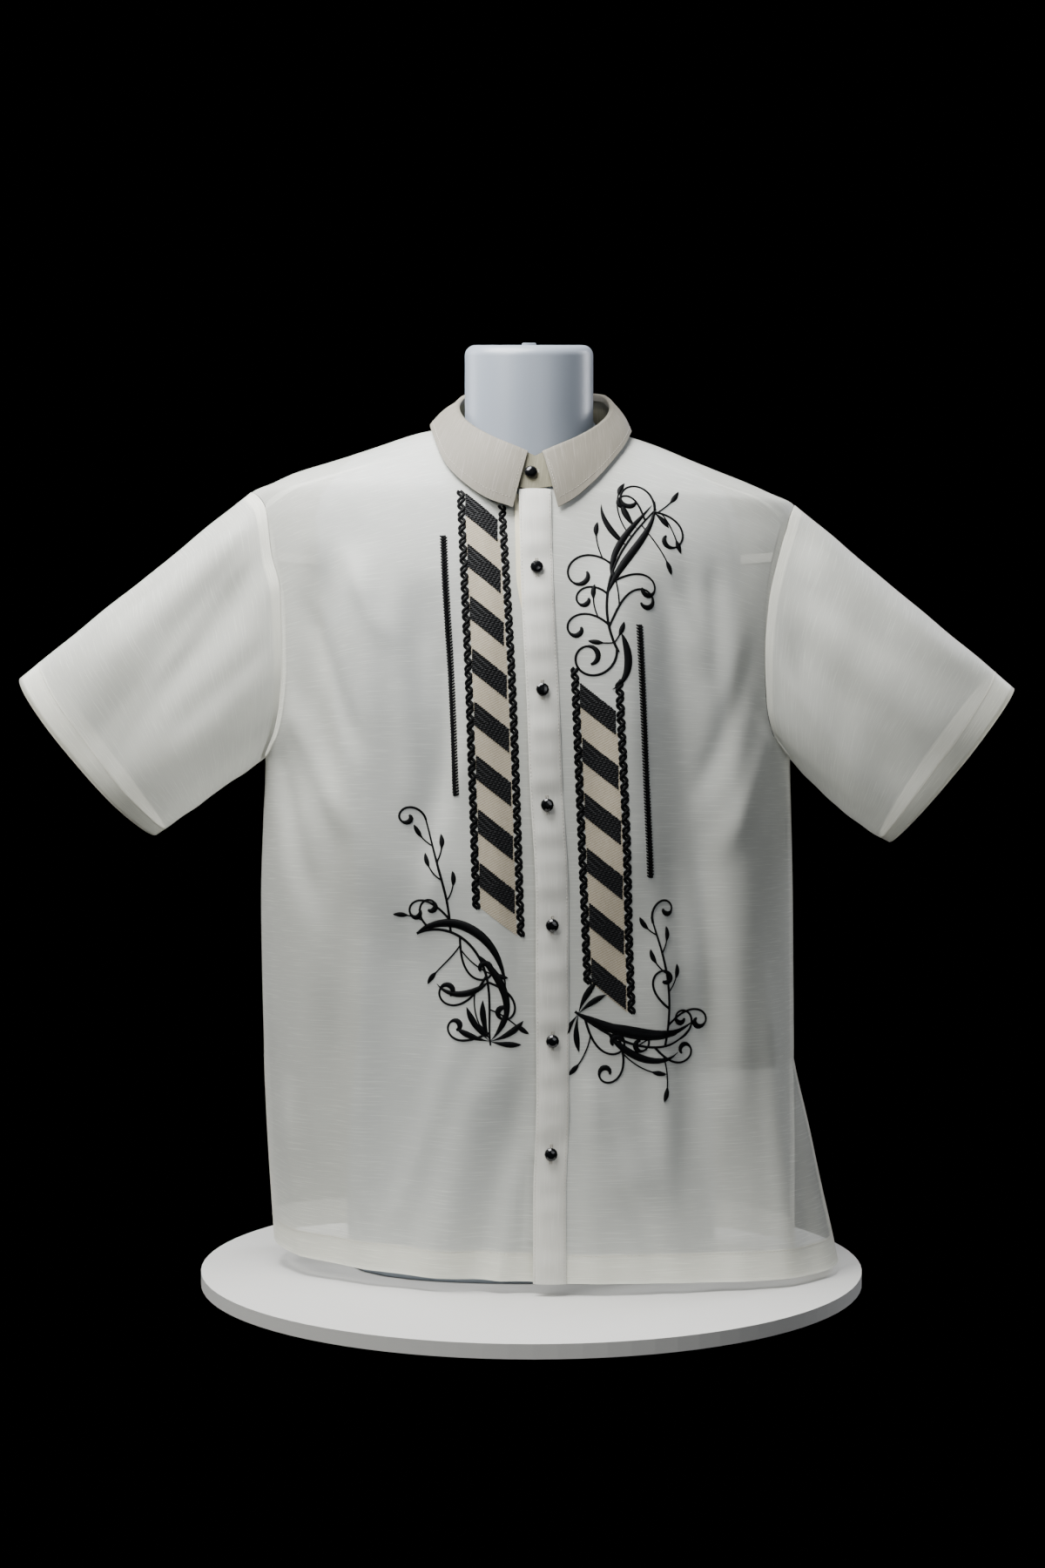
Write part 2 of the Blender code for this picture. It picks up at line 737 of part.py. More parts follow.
def yoke_before_shoulder(side, share, part):
    seam = shoulder_edge(side, share, SEAM * 1.6)
    if part == 1.0:
        return two_sided(FRONT, seam, 0.0, 0.0)
    top = ARMHOLE_TOP[side]
    edge_height = top + (SEAM_END[side] - top) * part ** 2
    edge = abs(armhole_x(FRONT, side, edge_height)) - SEAM_STEP
    neck = neckline(FRONT, side, 1 - (1 - SEAM_SHARE) * part)
    crest_x = NECK_WIDTH + (abs(armhole_x(FRONT, side, top)) - NECK_WIDTH) * share
    crest = ridge(side * crest_x)
    x = neck.x + (side * edge - neck.x) * share
    height = crest + (seam.z - crest) * part ** 2
    height += (neck.z - (crest + (seam.z - crest) * part ** 2)) * (1 - share) ** 3
    return two_sided(FRONT, body_at(FRONT, x, height), 0.0, 0.0)


def centre_strip(name, left, right, out, colour, columns=2):
    """A strip down the centre front; left and right give its edges at each height."""
    heights = []
    for line, upper in zip(FRONT_ROWS, FRONT_ROWS[1:]):
        heights += spread(line[1], upper[1], line[3])
    heights.append(NECK_FRONT)
    grid = []
    for height in heights:
        row = []
        for column in range(columns + 1):
            across = 1 - column / columns
            x = left(height) + (right(height) - left(height)) * across
            point = body_at(FRONT, x, height)
            row.append(two_sided(FRONT, point, out(height), fold_fade(height)))
        grid.append(row)
    return add_wall(name, grid, colour)


def placket_out(height):
    """How far the placket's outer side lies out of the front's."""
    return GAP + WALL + neck_ease(height)


def placket():
    half = PLACKET_WIDTH / 2
    return centre_strip(
        "placket",
        lambda height: placket_middle(height) - half,
        lambda height: placket_middle(height) + half,
        placket_out,
        "trim",
    )


def band_left(height):
    """The band's free edge: behind the placket, but just outside it towards the neck."""
    hidden = placket_middle(height) - PLACKET_WIDTH / 2 + 0.003
    return hidden - (0.003 + BAND_SHOWS) * ease((height - 0.560) / 0.06)


def button_band():
    return centre_strip(
        "button_band",
        band_left,
        lambda height: placket_middle(height) - PLACKET_WIDTH / 2 + OVERLAP - 0.0015,
        lambda height: -(WALL + GAP + neck_ease(height) / 2),
        "cloth",
    )


def turned(profile, sides):
    """Points and faces of a turned solid about Z, from rows of (radius, height), bottom to top."""
    points = []
    for radius, height in profile:
        for step in range(sides):
            turn = 2 * math.pi * step / sides
            points.append(Vector((radius * math.cos(turn), radius * math.sin(turn), height)))
    faces = [tuple(reversed(range(sides)))]
    for ring in range(len(profile) - 1):
        base = ring * sides
        for step in range(sides):
            onward = (step + 1) % sides
            faces.append((base + step, base + onward, base + sides + onward, base + sides + step))
    top = (len(profile) - 1) * sides
    faces.append(tuple(range(top, top + sides)))
    return points, faces


BUTTON_PROFILE = (
    # share of the radius, share of the height
    (0.80, 0.00),
    (1.00, 0.30),
    (0.93, 0.62),
    (0.66, 0.90),
    (0.28, 1.00),
)


def button(name, seat, normal):
    """A domed, faceted button standing on its seat."""
    profile = [(radius * BUTTON_RADIUS, height * BUTTON_HEIGHT) for radius, height in BUTTON_PROFILE]
    points, faces = turned(profile, BUTTON_SIDES)
    made = add_mesh(name, points, faces, "button")
    made.location = seat
    made.rotation_mode = "QUATERNION"
    made.rotation_quaternion = normal.to_track_quat("Z", "Y")
    return made


def buttons():
    stand_x, stand_z = STAND_BUTTON
    seat, normal = stand_face(stand_x, stand_z)
    button("button_1", seat + normal * GAP, normal)
    for number, height in enumerate(BUTTON_HEIGHTS):
        point = body_at(FRONT, placket_middle(height), height)
        outer, inner = two_sided(FRONT, point, placket_out(height), fold_fade(height))
        normal = (outer - inner).normalized()
        button(f"button_{number + 2}", outer + normal * GAP * 1.5, normal)


def armhole_loop(side):
    """Round the armhole from the shoulder, down the front and up the back: (face, height) pairs.

    It has the same heights as the edges of the pieces that it is sewn to.
    """
    top = ARMHOLE_TOP[side]
    loop = []
    for row in range(YOKE_FRONT_ROWS):
        loop.append((FRONT, top + (SEAM_END[side] - top) * (row / YOKE_FRONT_ROWS) ** 2))
    edges = [outer for _, _, outer in front_lines(side) if outer >= UNDERARM]
    loop += [(FRONT, outer) for outer in reversed(edges)]
    loop += [(BACK, height) for height in back_heights() if height > UNDERARM]
    for row in range(1, YOKE_BACK_ROWS):
        part = row / YOKE_BACK_ROWS
        loop.append((BACK, top + (YOKE_BACK - top) * (1 - part) ** 2))
    return loop


def loop_turns(points):
    """The turn of each point of an armhole, by its distance round: 0 on top, half way underneath."""
    lengths = [(point - points[number - 1]).length for number, point in enumerate(points)]
    lowest = min(range(len(points)), key=lambda number: points[number].z)
    front = sum(lengths[1:lowest + 1])
    back = sum(lengths[lowest + 1:]) + lengths[0]
    turns = []
    for number in range(len(points)):
        if number <= lowest:
            turns.append(math.pi * sum(lengths[1:number + 1]) / front)
        else:
            turns.append(math.pi * (1 + sum(lengths[lowest + 1:number + 1]) / back))
    return turns


def sleeve_rings(side):
    """The armhole's pairs of points, the outer points of each ring to the cuff, and their turns."""
    cuff = CUFFS[side]
    middle = (cuff.top + cuff.bottom) / 2 + Vector((0.0, cuff.forward, 0.0))
    rise = (cuff.top - cuff.bottom) / 2
    outwards = Vector((side * rise.z, 0.0, -abs(rise.x))).normalized()
    first = []
    for face, height in armhole_loop(side):
        point = body_at(face, armhole_x(face, side, height), height)
        upward = ease((UNDERARM + 0.035 - height) / 0.030)
        apart = Vector((side * (1 - upward), 0.0, upward)) * SEAM_STEP
        first.append(tuple(end + apart for end in two_sided(face, point, 0.0, 0.0)))
    turns = loop_turns([outer for outer, _ in first])
    rings = []
    for row in range(1, SLEEVE_ROWS + 1):
        along = row / SLEEVE_ROWS
        swell = math.sin(math.pi * along)
        ring = []
        for (start, _), turn in zip(first, turns):
            end = middle + rise * math.cos(turn) + Vector((0.0, -cuff.depth * math.sin(turn), 0.0))
            end += outwards * cuff.bow * abs(math.sin(turn))
            point = start + (end - start) * along
            point.y -= SLEEVE_FULLNESS * swell * math.sin(turn)
            point.z -= cuff.sag * swell * max(0.0, -math.cos(turn))
            ring.append(point)
        rings.append(ring)
    return first, rings, turns


def crease_lift(side, along, turn):
    lift = 0.0
    for crease in CREASES:
        if crease.side != side:
            continue
        run = crease.row1 - crease.row0
        part = (along - crease.row0) / run
        middle = crease.turn0 + (crease.turn1 - crease.turn0) * part
        away = (math.degrees(turn) - middle + 180) % 360 - 180
        ends = ease((part + 0.15) / 0.35) * ease((1.15 - part) / 0.35)
        lift += crease.depth * ends * math.exp(-((away / crease.width) ** 2))
    return lift * ease(along / 0.2)


def sleeve(name, side):
    first, rings, turns = sleeve_rings(side)
    lines = [[pair[0] for pair in first]] + rings
    grid = []
    for row in range(len(lines)):
        made = []
        upper = lines[min(row + 1, len(lines) - 1)]
        lower = lines[max(row - 1, 0)]
        for step, turn in enumerate(turns):
            around = lines[row][(step + 1) % len(turns)] - lines[row][step - 1]
            normal = around.cross(upper[step] - lower[step]).normalized() * side
            if row == 0:
                body = (first[step][0] - first[step][1]).normalized()
                normal = (normal + body).normalized()
            outer = lines[row][step] + normal * crease_lift(side, row / SLEEVE_ROWS, turn)
            made.append((outer, outer - normal * WALL))
        grid.append(made)
    return add_wall(name, grid, "cloth", wraps=True)


def stand_top(side, turn):
    """The middle of the stand's top edge; the turn in degrees from the front to the back."""
    angle = math.radians(turn)
    depth = STAND_TOP_FRONT if turn < 90 else STAND_TOP_BACK
    return Vector((
        STAND_TOP_CENTRE + side * STAND_TOP_WIDTH * math.sin(angle),
        -depth * math.cos(angle),
        read(STAND_TOP, "height", turn, "turn"),
    ))


def stand_foot(side, turn):
    """The stand's lower edge, just above the neckline."""
    face = FRONT if turn < 90 else BACK
    share = turn / 90 if turn < 90 else (180 - turn) / 90
    point = neckline(face, side, share)
    inwards = Vector((-point.x, -point.y, 0.0)).normalized()
    lift = STAND_LIFT[0] + (STAND_LIFT[1] - STAND_LIFT[0]) * ease((turn - 30) / 60)
    return point + Vector((0.0, 0.0, lift)) + inwards * WALL / 2


def stand_out(side, turn):
    """The direction out of the stand's side, level."""
    angle = math.radians(turn)
    depth = STAND_TOP_FRONT if turn < 90 else STAND_TOP_BACK
    out = Vector((side * math.sin(angle) / STAND_TOP_WIDTH, -math.cos(angle) / depth, 0.0))
    rise = (stand_top(side, turn) - stand_foot(side, turn)).normalized()
    return (out.normalized() - rise * rise.dot(out.normalized())).normalized()


def stand_face(x, height):
    """A seat on the outer end of the stand in front."""
    foot, top = stand_foot(LEFT, 0), stand_top(LEFT, 0)
    part = (height - foot.z) / (top.z - foot.z)
    seat = foot + (top - foot) * part
    normal = stand_out(LEFT, 0)
    return Vector((x, seat.y, height)) + normal * (STAND_STEP + WALL / 2 + GAP), normal


FALL_START = 5                  # where the fall starts on the stand's top, in degrees from the middle
COLLAR_TURNS = (FALL_START, 12, 22, 36, 52, 68, 80, 90, 100, 112, 128, 145, 162)
STAND_TURNS = (-9, 0, *COLLAR_TURNS)
STAND_ROWS = 2


def collar_stand():
    """A band round the neck, its left end over its right one."""
    ends = math.degrees(math.asin(STAND_OVERLAP / STAND_TOP_WIDTH))
    turns = [(LEFT, turn) for turn in STAND_TURNS] + [(RIGHT, 180)]
    turns += [(RIGHT, turn) for turn in reversed(STAND_TURNS)]
    grid = []
    columns = []
    for side, turn in turns:
        over = 1 if side == RIGHT else -1
        step = over * STAND_STEP * (1 - ease((turn - 12) / 18))
        if turn < 0:
            side, turn = -side, ends
        columns.append((side, turn, step))
    for row in range(STAND_ROWS + 1):
        line = []
        for side, turn, step in columns:
            foot, top, out = stand_foot(side, turn), stand_top(side, turn), stand_out(side, turn)
            middle = foot + (top - foot) * row / STAND_ROWS + out * step
            line.append((middle + out * WALL / 2, middle - out * WALL / 2))
        grid.append(line)
    return add_wall("collar_stand", grid, "trim")


def fall_section(side, at_top):
    """The fall's wall at one turn, from its tuck inside the stand, over the top and down."""
    turn = (at_top - FALL_START) * 180 / (180 - FALL_START)
    top, out = stand_top(side, at_top), stand_out(side, at_top)
    up = (top - stand_foot(side, at_top)).normalized()
    half = WALL / 2 + COLLAR_EASE + STAND_STEP * (1 - ease((at_top - 12) / 18))
    face = FRONT if turn < 96 else BACK
    edge = COLLAR_EDGE[side]
    lower = body_at(face, read(edge, "x", turn, "turn"), read(edge, "height", turn, "turn"))
    lower_out = outward(face, lower)
    pairs = []
    for wide in (half + WALL, half):
        rise = wide - half + COLLAR_EASE
        shoulder = top + out * wide
        lift = COLLAR_LIFT + SHOULDER_LIFT * math.exp(-(((turn - 92) / 16) ** 2))
        end = lower + lower_out * (lift + wide - half)
        line = [top - out * wide - up * COLLAR_TUCK, top - out * wide, top + up * rise, shoulder]
        for part in (0.3, 0.65, 1.0):
            bulge = COLLAR_BULGE * math.sin(math.pi * part)
            line.append(shoulder + (end - shoulder) * part + (out + lower_out).normalized() * bulge)
        pairs.append(line)
    return list(zip(*pairs))


def collar_fall():
    sections = [fall_section(LEFT, turn) for turn in (*COLLAR_TURNS, 180)]
    sections += [fall_section(RIGHT, turn) for turn in reversed(COLLAR_TURNS)]
    grid = [list(line) for line in zip(*sections)]
    return add_wall("collar_fall", grid, "trim")


FORM_HEIGHTS = (
    0.0, 0.004, 0.06, 0.14, 0.22, 0.30, 0.40, 0.50, 0.58, 0.64, 0.68, 0.702, 0.716, 0.7280, 0.7363,
    0.7437, 0.7520, 0.7600, 0.768, 0.776, 0.790, 0.808, 0.828, 0.8340, 0.8372, 0.8384,
)
FOOT_ROUNDING = 0.003
NECK_SLOPE = 0.20               # the neck's flat top falls towards the front


def sloped(x, y, height):
    """A point of the form: the last rings of the neck lean forwards, to its sloping top."""
    return Vector((x, y, height + NECK_SLOPE * (y - NECK_CENTRE[1]) * ease((height - 0.776) / 0.05)))


def form_radius(angle, height):
    """The form's level outline, as a distance from the middle: its torso and its neck together."""
    aside, ahead = math.cos(angle), math.sin(angle)
    radius = 0.0
    if height < 0.771:
        width = read(TORSO, "right" if aside > 0 else "left", height)
        depth = read(TORSO, "back" if ahead > 0 else "front", height)
        power = 2.0 + 0.3 * ease((0.70 - height) / 0.05)
        radius = (abs(aside / width) ** power + abs(ahead / depth) ** power) ** (-1 / power)
    if height < FORM_NECK["height"][0]:
        return radius
    neck = read(FORM_NECK, "radius", height)
    x, y = NECK_CENTRE
    toward = aside * x + ahead * y
    neck = toward + math.sqrt(neck ** 2 - x * x - y * y + toward ** 2)
    if height >= 0.771:
        return neck
    return (radius ** NECK_BLEND + neck ** NECK_BLEND) ** (1 / NECK_BLEND)


def dress_form():
    """A plain torso to the hips with a neck block, one smooth closed body."""
    points = []
    for height in FORM_HEIGHTS:
        inset = FOOT_ROUNDING if height == 0.0 else 0.0
        for step in range(FORM_SIDES):
            angle = 2 * math.pi * step / FORM_SIDES
            radius = form_radius(angle, height) - inset
            points.append(sloped(radius * math.cos(angle), radius * math.sin(angle), height))
    faces = [tuple(reversed(range(FORM_SIDES)))]
    for ring in range(len(FORM_HEIGHTS) - 1):
        base = ring * FORM_SIDES
        for step in range(FORM_SIDES):
            onward = (step + 1) % FORM_SIDES
            upper = base + FORM_SIDES
            faces.append((base + step, base + onward, upper + onward, upper + step))
    top = (len(FORM_HEIGHTS) - 1) * FORM_SIDES
    faces.append(tuple(range(top, top + FORM_SIDES)))
    add_mesh("dress_form", points, faces, "form")
    stub = [(STUB_RADIUS, 0.0), (STUB_RADIUS, STUB_HEIGHT * 0.8), (STUB_RADIUS * 0.8, STUB_HEIGHT)]
    stub_points, stub_faces = turned(stub, 12)
    placed = add_mesh("form_stub", stub_points, stub_faces, "form")
    placed.location = (NECK_CENTRE[0], NECK_CENTRE[1], FORM_HEIGHTS[-1] + GAP)
    placed.rotation_euler = (math.atan(NECK_SLOPE), 0, 0)


def main():
    for old in list(bpy.data.objects):
        bpy.data.objects.remove(old, do_unlink=True)
    dress_form()
    front_panel("front_right", LEFT)
    front_panel("front_left", RIGHT)
    back_panel()
    yoke()
    sleeve("sleeve_right", LEFT)
    sleeve("sleeve_left", RIGHT)
    placket()
    button_band()
    collar_stand()
    collar_fall()
    buttons()


main()
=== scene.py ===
"""Finish of the short-sleeved barong tagalog on its dress form.

Metres, +Z up, the shirt's front towards -Y. LEFT is -X and RIGHT is +X. The names of the pieces
go by the wearer's sides, as a tailor uses them, so front_left lies at +X.

Every piece of cloth is one thin sheet on the form of its solid, with its hems turned in. The
embroidery, stitches and buttonholes are raised threads laid on those sheets.
"""

import json
import math
from collections import namedtuple

import bmesh
import bpy
import numpy as np
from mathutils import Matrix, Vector

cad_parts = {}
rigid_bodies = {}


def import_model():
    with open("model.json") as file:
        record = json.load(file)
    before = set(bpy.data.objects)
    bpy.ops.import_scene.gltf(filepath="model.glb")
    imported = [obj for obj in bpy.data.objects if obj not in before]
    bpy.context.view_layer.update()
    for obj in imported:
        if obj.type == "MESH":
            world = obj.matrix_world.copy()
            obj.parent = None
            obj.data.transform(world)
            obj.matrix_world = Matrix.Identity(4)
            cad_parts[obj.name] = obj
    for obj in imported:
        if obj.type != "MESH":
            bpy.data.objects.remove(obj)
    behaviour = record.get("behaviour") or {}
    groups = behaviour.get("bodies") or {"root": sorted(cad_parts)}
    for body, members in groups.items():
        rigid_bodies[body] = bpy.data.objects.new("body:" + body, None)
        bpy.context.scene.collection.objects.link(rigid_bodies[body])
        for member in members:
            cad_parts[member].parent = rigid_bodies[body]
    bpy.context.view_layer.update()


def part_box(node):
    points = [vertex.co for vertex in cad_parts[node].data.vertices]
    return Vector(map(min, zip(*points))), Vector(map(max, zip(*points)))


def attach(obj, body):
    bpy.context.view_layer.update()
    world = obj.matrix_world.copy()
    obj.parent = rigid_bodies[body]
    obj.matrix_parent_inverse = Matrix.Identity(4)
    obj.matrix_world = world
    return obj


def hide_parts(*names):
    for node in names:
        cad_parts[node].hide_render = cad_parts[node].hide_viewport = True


FRONT, BACK = -1, 1
LEFT, RIGHT = -1, 1
COLUMN = {FRONT: "front", BACK: "back"}     # in the tables

# ---------------------------------------------------------------- the shirt's sizes, in metres

WALL = 0.0012                   # the thickness of each panel's solid
GAP = 0.0003                    # between two panels
SEAM = GAP / 2
SEAM_STEP = 0.0004              # a sleeve's edge and the yoke's edge stop this far from the armhole
HEM = 0.0102
HEM_RISE = 0.0130               # to the left slit
HEM_DIP = 0.0032                # to the flared corner
SLIT_TOP = 0.187
UNDERARM = 0.461
ARMPIT = 0.006                  # the height of the armhole's rounded foot
NECK_FRONT = 0.693
NECK_SIDE = {LEFT: 0.7635, RIGHT: 0.7590}
NECK_BACK = 0.7700
NECK_WIDTH = 0.080
SEAM_END = {LEFT: 0.6843, RIGHT: 0.6690}
ARMHOLE_TOP = {LEFT: 0.7034, RIGHT: 0.6922}
SEAM_SHARE = 0.86               # where the shoulder seam meets the neckline
YOKE_BACK = 0.655
PLACKET_WIDTH = 0.028
BAND_SHOWS = 0.0040             # how far the button band shows past the placket near the neck
BAND_HIDES = 0.003
OVERLAP = 0.026                 # how far the one front reaches under the placket
SINK = 0.024                    # over this width it sinks to pass under it
SINK_END = 0.0100
NECK_EASE = 0.0012              # the layers ease apart this much below the collar
SQUARE = {LEFT: -0.12, RIGHT: 0.15}     # how much squarer than an ellipse the lower body is
SQUARE_BELOW = 0.45
FLARE_WIDTH = 0.036             # the corner that swings out below the right slit
FLARE_DEPTH = 0.006
FLARE_SQUARE = 0.6
FLARE_TURN = math.radians(7)
SLIT_TURN = math.radians(2.5)
SLEEVE_FULLNESS = 0.012         # how far a sleeve swells to the front and back

HEM_WIDTH = 0.025               # the bottom hem, turned in
SLIT_HEM_WIDTH = 0.016
SLEEVE_HEM_WIDTH = 0.020
TURN_IN = 0.0006                # how far a turned-in layer lies inside the cloth
SHEET_IN = 0.0004               # how far a sheet lies inside its solid's outer side


def table(columns, *rows):
    """Rows with named columns, as one array for each column."""
    names = columns.split()
    return {name: np.array([row[number] for row in rows]) for number, name in enumerate(names)}


# Half widths to each side and depths to the front and back, by height
BODY = table(
    "height left   right  front  back",
    (0.000, 0.2350, 0.2430, 0.1350, 0.1300),
    (0.100, 0.2410, 0.2425, 0.1350, 0.1290),
    (0.187, 0.2448, 0.2410, 0.1350, 0.1270),
    (0.260, 0.2470, 0.2405, 0.1350, 0.1250),
    (0.330, 0.2480, 0.2400, 0.1350, 0.1230),
    (0.400, 0.2460, 0.2388, 0.1345, 0.1220),
    (0.458, 0.2440, 0.2376, 0.1330, 0.1220),
    (0.500, 0.2460, 0.2400, 0.1310, 0.1220),
    (0.550, 0.2505, 0.2425, 0.1260, 0.1215),
    (0.600, 0.2555, 0.2465, 0.1170, 0.1195),
    (0.650, 0.2630, 0.2510, 0.1035, 0.1140),
    (0.676, 0.2645, 0.2480, 0.0945, 0.1085),
    (0.6922, 0.2620, 0.2416, 0.0880, 0.1035),
    (0.7034, 0.2576, 0.2190, 0.0822, 0.0990),
    (0.7122, 0.2384, 0.1995, 0.0772, 0.0955),
    (0.7210, 0.2192, 0.1775, 0.0712, 0.0915),
    (0.7330, 0.1808, 0.1480, 0.0612, 0.0860),
    (0.7458, 0.1424, 0.1180, 0.0480, 0.0795),
    (0.7560, 0.1130, 0.0888, 0.0352, 0.0740),
    (0.7590, 0.1020, 0.0800, 0.0320, 0.0722),
    (0.7635, 0.0800, 0.0740, 0.0300, 0.0700),
    (0.7700, 0.0720, 0.0700, 0.0290, 0.0660),
    (0.7800, 0.0600, 0.0600, 0.0280, 0.0600),
)

# Where the armhole's edge runs, as a half width, on the front and on the back
ARMHOLE = {
    LEFT: table(
        "height front  back",
        (0.4610, 0.2440, 0.2440),
        (0.4700, 0.2385, 0.2410),
        (0.4850, 0.2310, 0.2360),
        (0.5100, 0.2255, 0.2320),
        (0.5456, 0.2230, 0.2300),
        (0.6100, 0.2245, 0.2320),
        (0.6426, 0.2330, 0.2375),
        (0.6843, 0.2395, 0.2470),
        (0.7034, 0.2576, 0.2576),
    ),
    RIGHT: table(
        "height front  back",
        (0.4610, 0.2376, 0.2376),
        (0.4680, 0.2290, 0.2340),
        (0.4830, 0.2150, 0.2270),
        (0.5100, 0.2090, 0.2220),
        (0.5534, 0.2077, 0.2200),
        (0.5992, 0.2116, 0.2210),
        (0.6420, 0.2220, 0.2260),
        (0.6690, 0.2310, 0.2330),
        (0.6922, 0.2416, 0.2416),
    ),
}

# The neckline in front, from the centre to the shoulder, as shares of its width and its rise
NECKLINE = table(
    "share along rise",
    (0.00, 0.000, 0.000),
    (0.25, 0.300, 0.070),
    (0.50, 0.580, 0.240),
    (0.75, 0.840, 0.520),
    (0.90, 0.955, 0.790),
    (1.00, 1.000, 1.000),
)

# The placket's middle, by height
PLACKET = table(
    "height middle",
    (0.000, 0.0151),
    (0.079, 0.0151),
    (0.165, 0.0178),
    (0.286, 0.0174),
    (0.333, 0.0174),
    (0.439, 0.0121),
    (0.518, 0.0092),
    (0.590, 0.0055),
    (0.626, 0.0043),
    (0.700, 0.0027),
)
BUTTON_HEIGHTS = (0.6245, 0.5180, 0.4190, 0.3160, 0.2170, 0.1205)

# Soft folds on each face: x0, z0, x1, z1, width and depth, which is negative for a trough
FOLDS = {
    FRONT: (
        (-0.155, 0.700, -0.138, 0.330, 0.024, 0.0075),
        (-0.190, 0.670, -0.186, 0.420, 0.020, -0.0063),
        (-0.092, 0.600, -0.080, 0.380, 0.026, -0.0094),
        (-0.210, 0.420, -0.190, 0.060, 0.026, 0.0063),
        (-0.110, 0.330, -0.120, 0.030, 0.030, -0.0063),
        (-0.038, 0.200, -0.085, 0.010, 0.022, 0.0070),
        (-0.015, 0.170, -0.052, -0.010, 0.019, -0.0068),
        (0.075, 0.640, 0.090, 0.330, 0.026, 0.0063),
        (0.130, 0.660, 0.135, 0.300, 0.026, -0.0069),
        (0.175, 0.560, 0.185, 0.150, 0.024, 0.0069),
        (0.029, 0.190, 0.090, 0.080, 0.020, 0.0081),
        (0.130, 0.250, 0.160, 0.000, 0.028, -0.0075),
    ),
    BACK: (
        (-0.170, 0.600, -0.180, 0.000, 0.026, 0.0100),
        (-0.115, 0.620, -0.120, 0.020, 0.026, -0.0088),
        (-0.060, 0.640, -0.062, 0.060, 0.026, 0.0088),
        (0.010, 0.600, -0.004, 0.000, 0.026, -0.0075),
        (0.070, 0.630, 0.078, 0.020, 0.026, 0.0100),
        (0.130, 0.600, 0.135, 0.050, 0.026, -0.0088),
        (0.185, 0.560, 0.190, 0.000, 0.024, 0.0088),
    ),
}

# Finer creases that only the finished cloth has, in the same columns
CREASES = {
    FRONT: (
        (-0.170, 0.655, -0.125, 0.560, 0.009, 0.0030),
        (-0.205, 0.600, -0.150, 0.470, 0.010, -0.0036),
        (-0.228, 0.530, -0.165, 0.400, 0.011, 0.0045),
        (-0.232, 0.480, -0.190, 0.330, 0.010, -0.0036),
        (-0.120, 0.600, -0.100, 0.400, 0.012, 0.0045),
        (-0.072, 0.560, -0.078, 0.420, 0.012, -0.0039),
        (-0.060, 0.470, -0.095, 0.300, 0.010, 0.0027),
        (-0.060, 0.230, -0.120, 0.050, 0.012, 0.0039),
        (-0.150, 0.300, -0.150, 0.040, 0.013, 0.0036),
        (-0.180, 0.240, -0.172, 0.000, 0.012, -0.0036),
        (-0.214, 0.160, -0.205, 0.000, 0.010, 0.0030),
        (-0.012, 0.115, -0.030, 0.000, 0.009, 0.0039),
        (0.110, 0.650, 0.150, 0.540, 0.010, 0.0030),
        (0.160, 0.640, 0.168, 0.470, 0.010, -0.0030),
        (0.200, 0.560, 0.150, 0.430, 0.011, -0.0039),
        (0.222, 0.510, 0.168, 0.380, 0.011, 0.0042),
        (0.150, 0.400, 0.165, 0.180, 0.012, -0.0036),
        (0.110, 0.330, 0.120, 0.100, 0.012, 0.0036),
        (0.060, 0.150, 0.110, 0.010, 0.012, -0.0039),
        (0.040, 0.110, 0.062, 0.000, 0.010, 0.0033),
        (0.205, 0.260, 0.222, 0.010, 0.012, 0.0045),
        (0.232, 0.180, 0.250, 0.010, 0.010, -0.0039),
    ),
    BACK: (
        (-0.200, 0.520, -0.150, 0.400, 0.010, 0.0039),
        (-0.225, 0.470, -0.180, 0.330, 0.010, -0.0033),
        (-0.090, 0.600, -0.085, 0.420, 0.010, 0.0036),
        (-0.030, 0.630, -0.028, 0.400, 0.010, 0.0036),
        (0.040, 0.620, 0.036, 0.380, 0.010, 0.0036),
        (0.105, 0.600, 0.098, 0.350, 0.011, 0.0036),
        (0.205, 0.520, 0.160, 0.390, 0.010, 0.0039),
        (-0.140, 0.300, -0.150, 0.060, 0.012, 0.0039),
        (0.030, 0.250, 0.030, 0.020, 0.012, -0.0039),
        (0.150, 0.280, 0.156, 0.030, 0.012, 0.0036),
    ),
}

# Cuff ends: the top and the bottom of each cuff, half of its depth, and how far its sides bow out
Cuff = namedtuple("Cuff", "top bottom depth forward sag bow")
CUFFS = {
    LEFT: Cuff((-0.4664, 0.0, 0.5346), (-0.3425, 0.0, 0.3900), 0.040, -0.010, 0.000, 0.008),
    RIGHT: Cuff((0.4408, 0.0, 0.5250), (0.3270, 0.0, 0.3835), 0.040, -0.010, 0.008, 0.002),
}

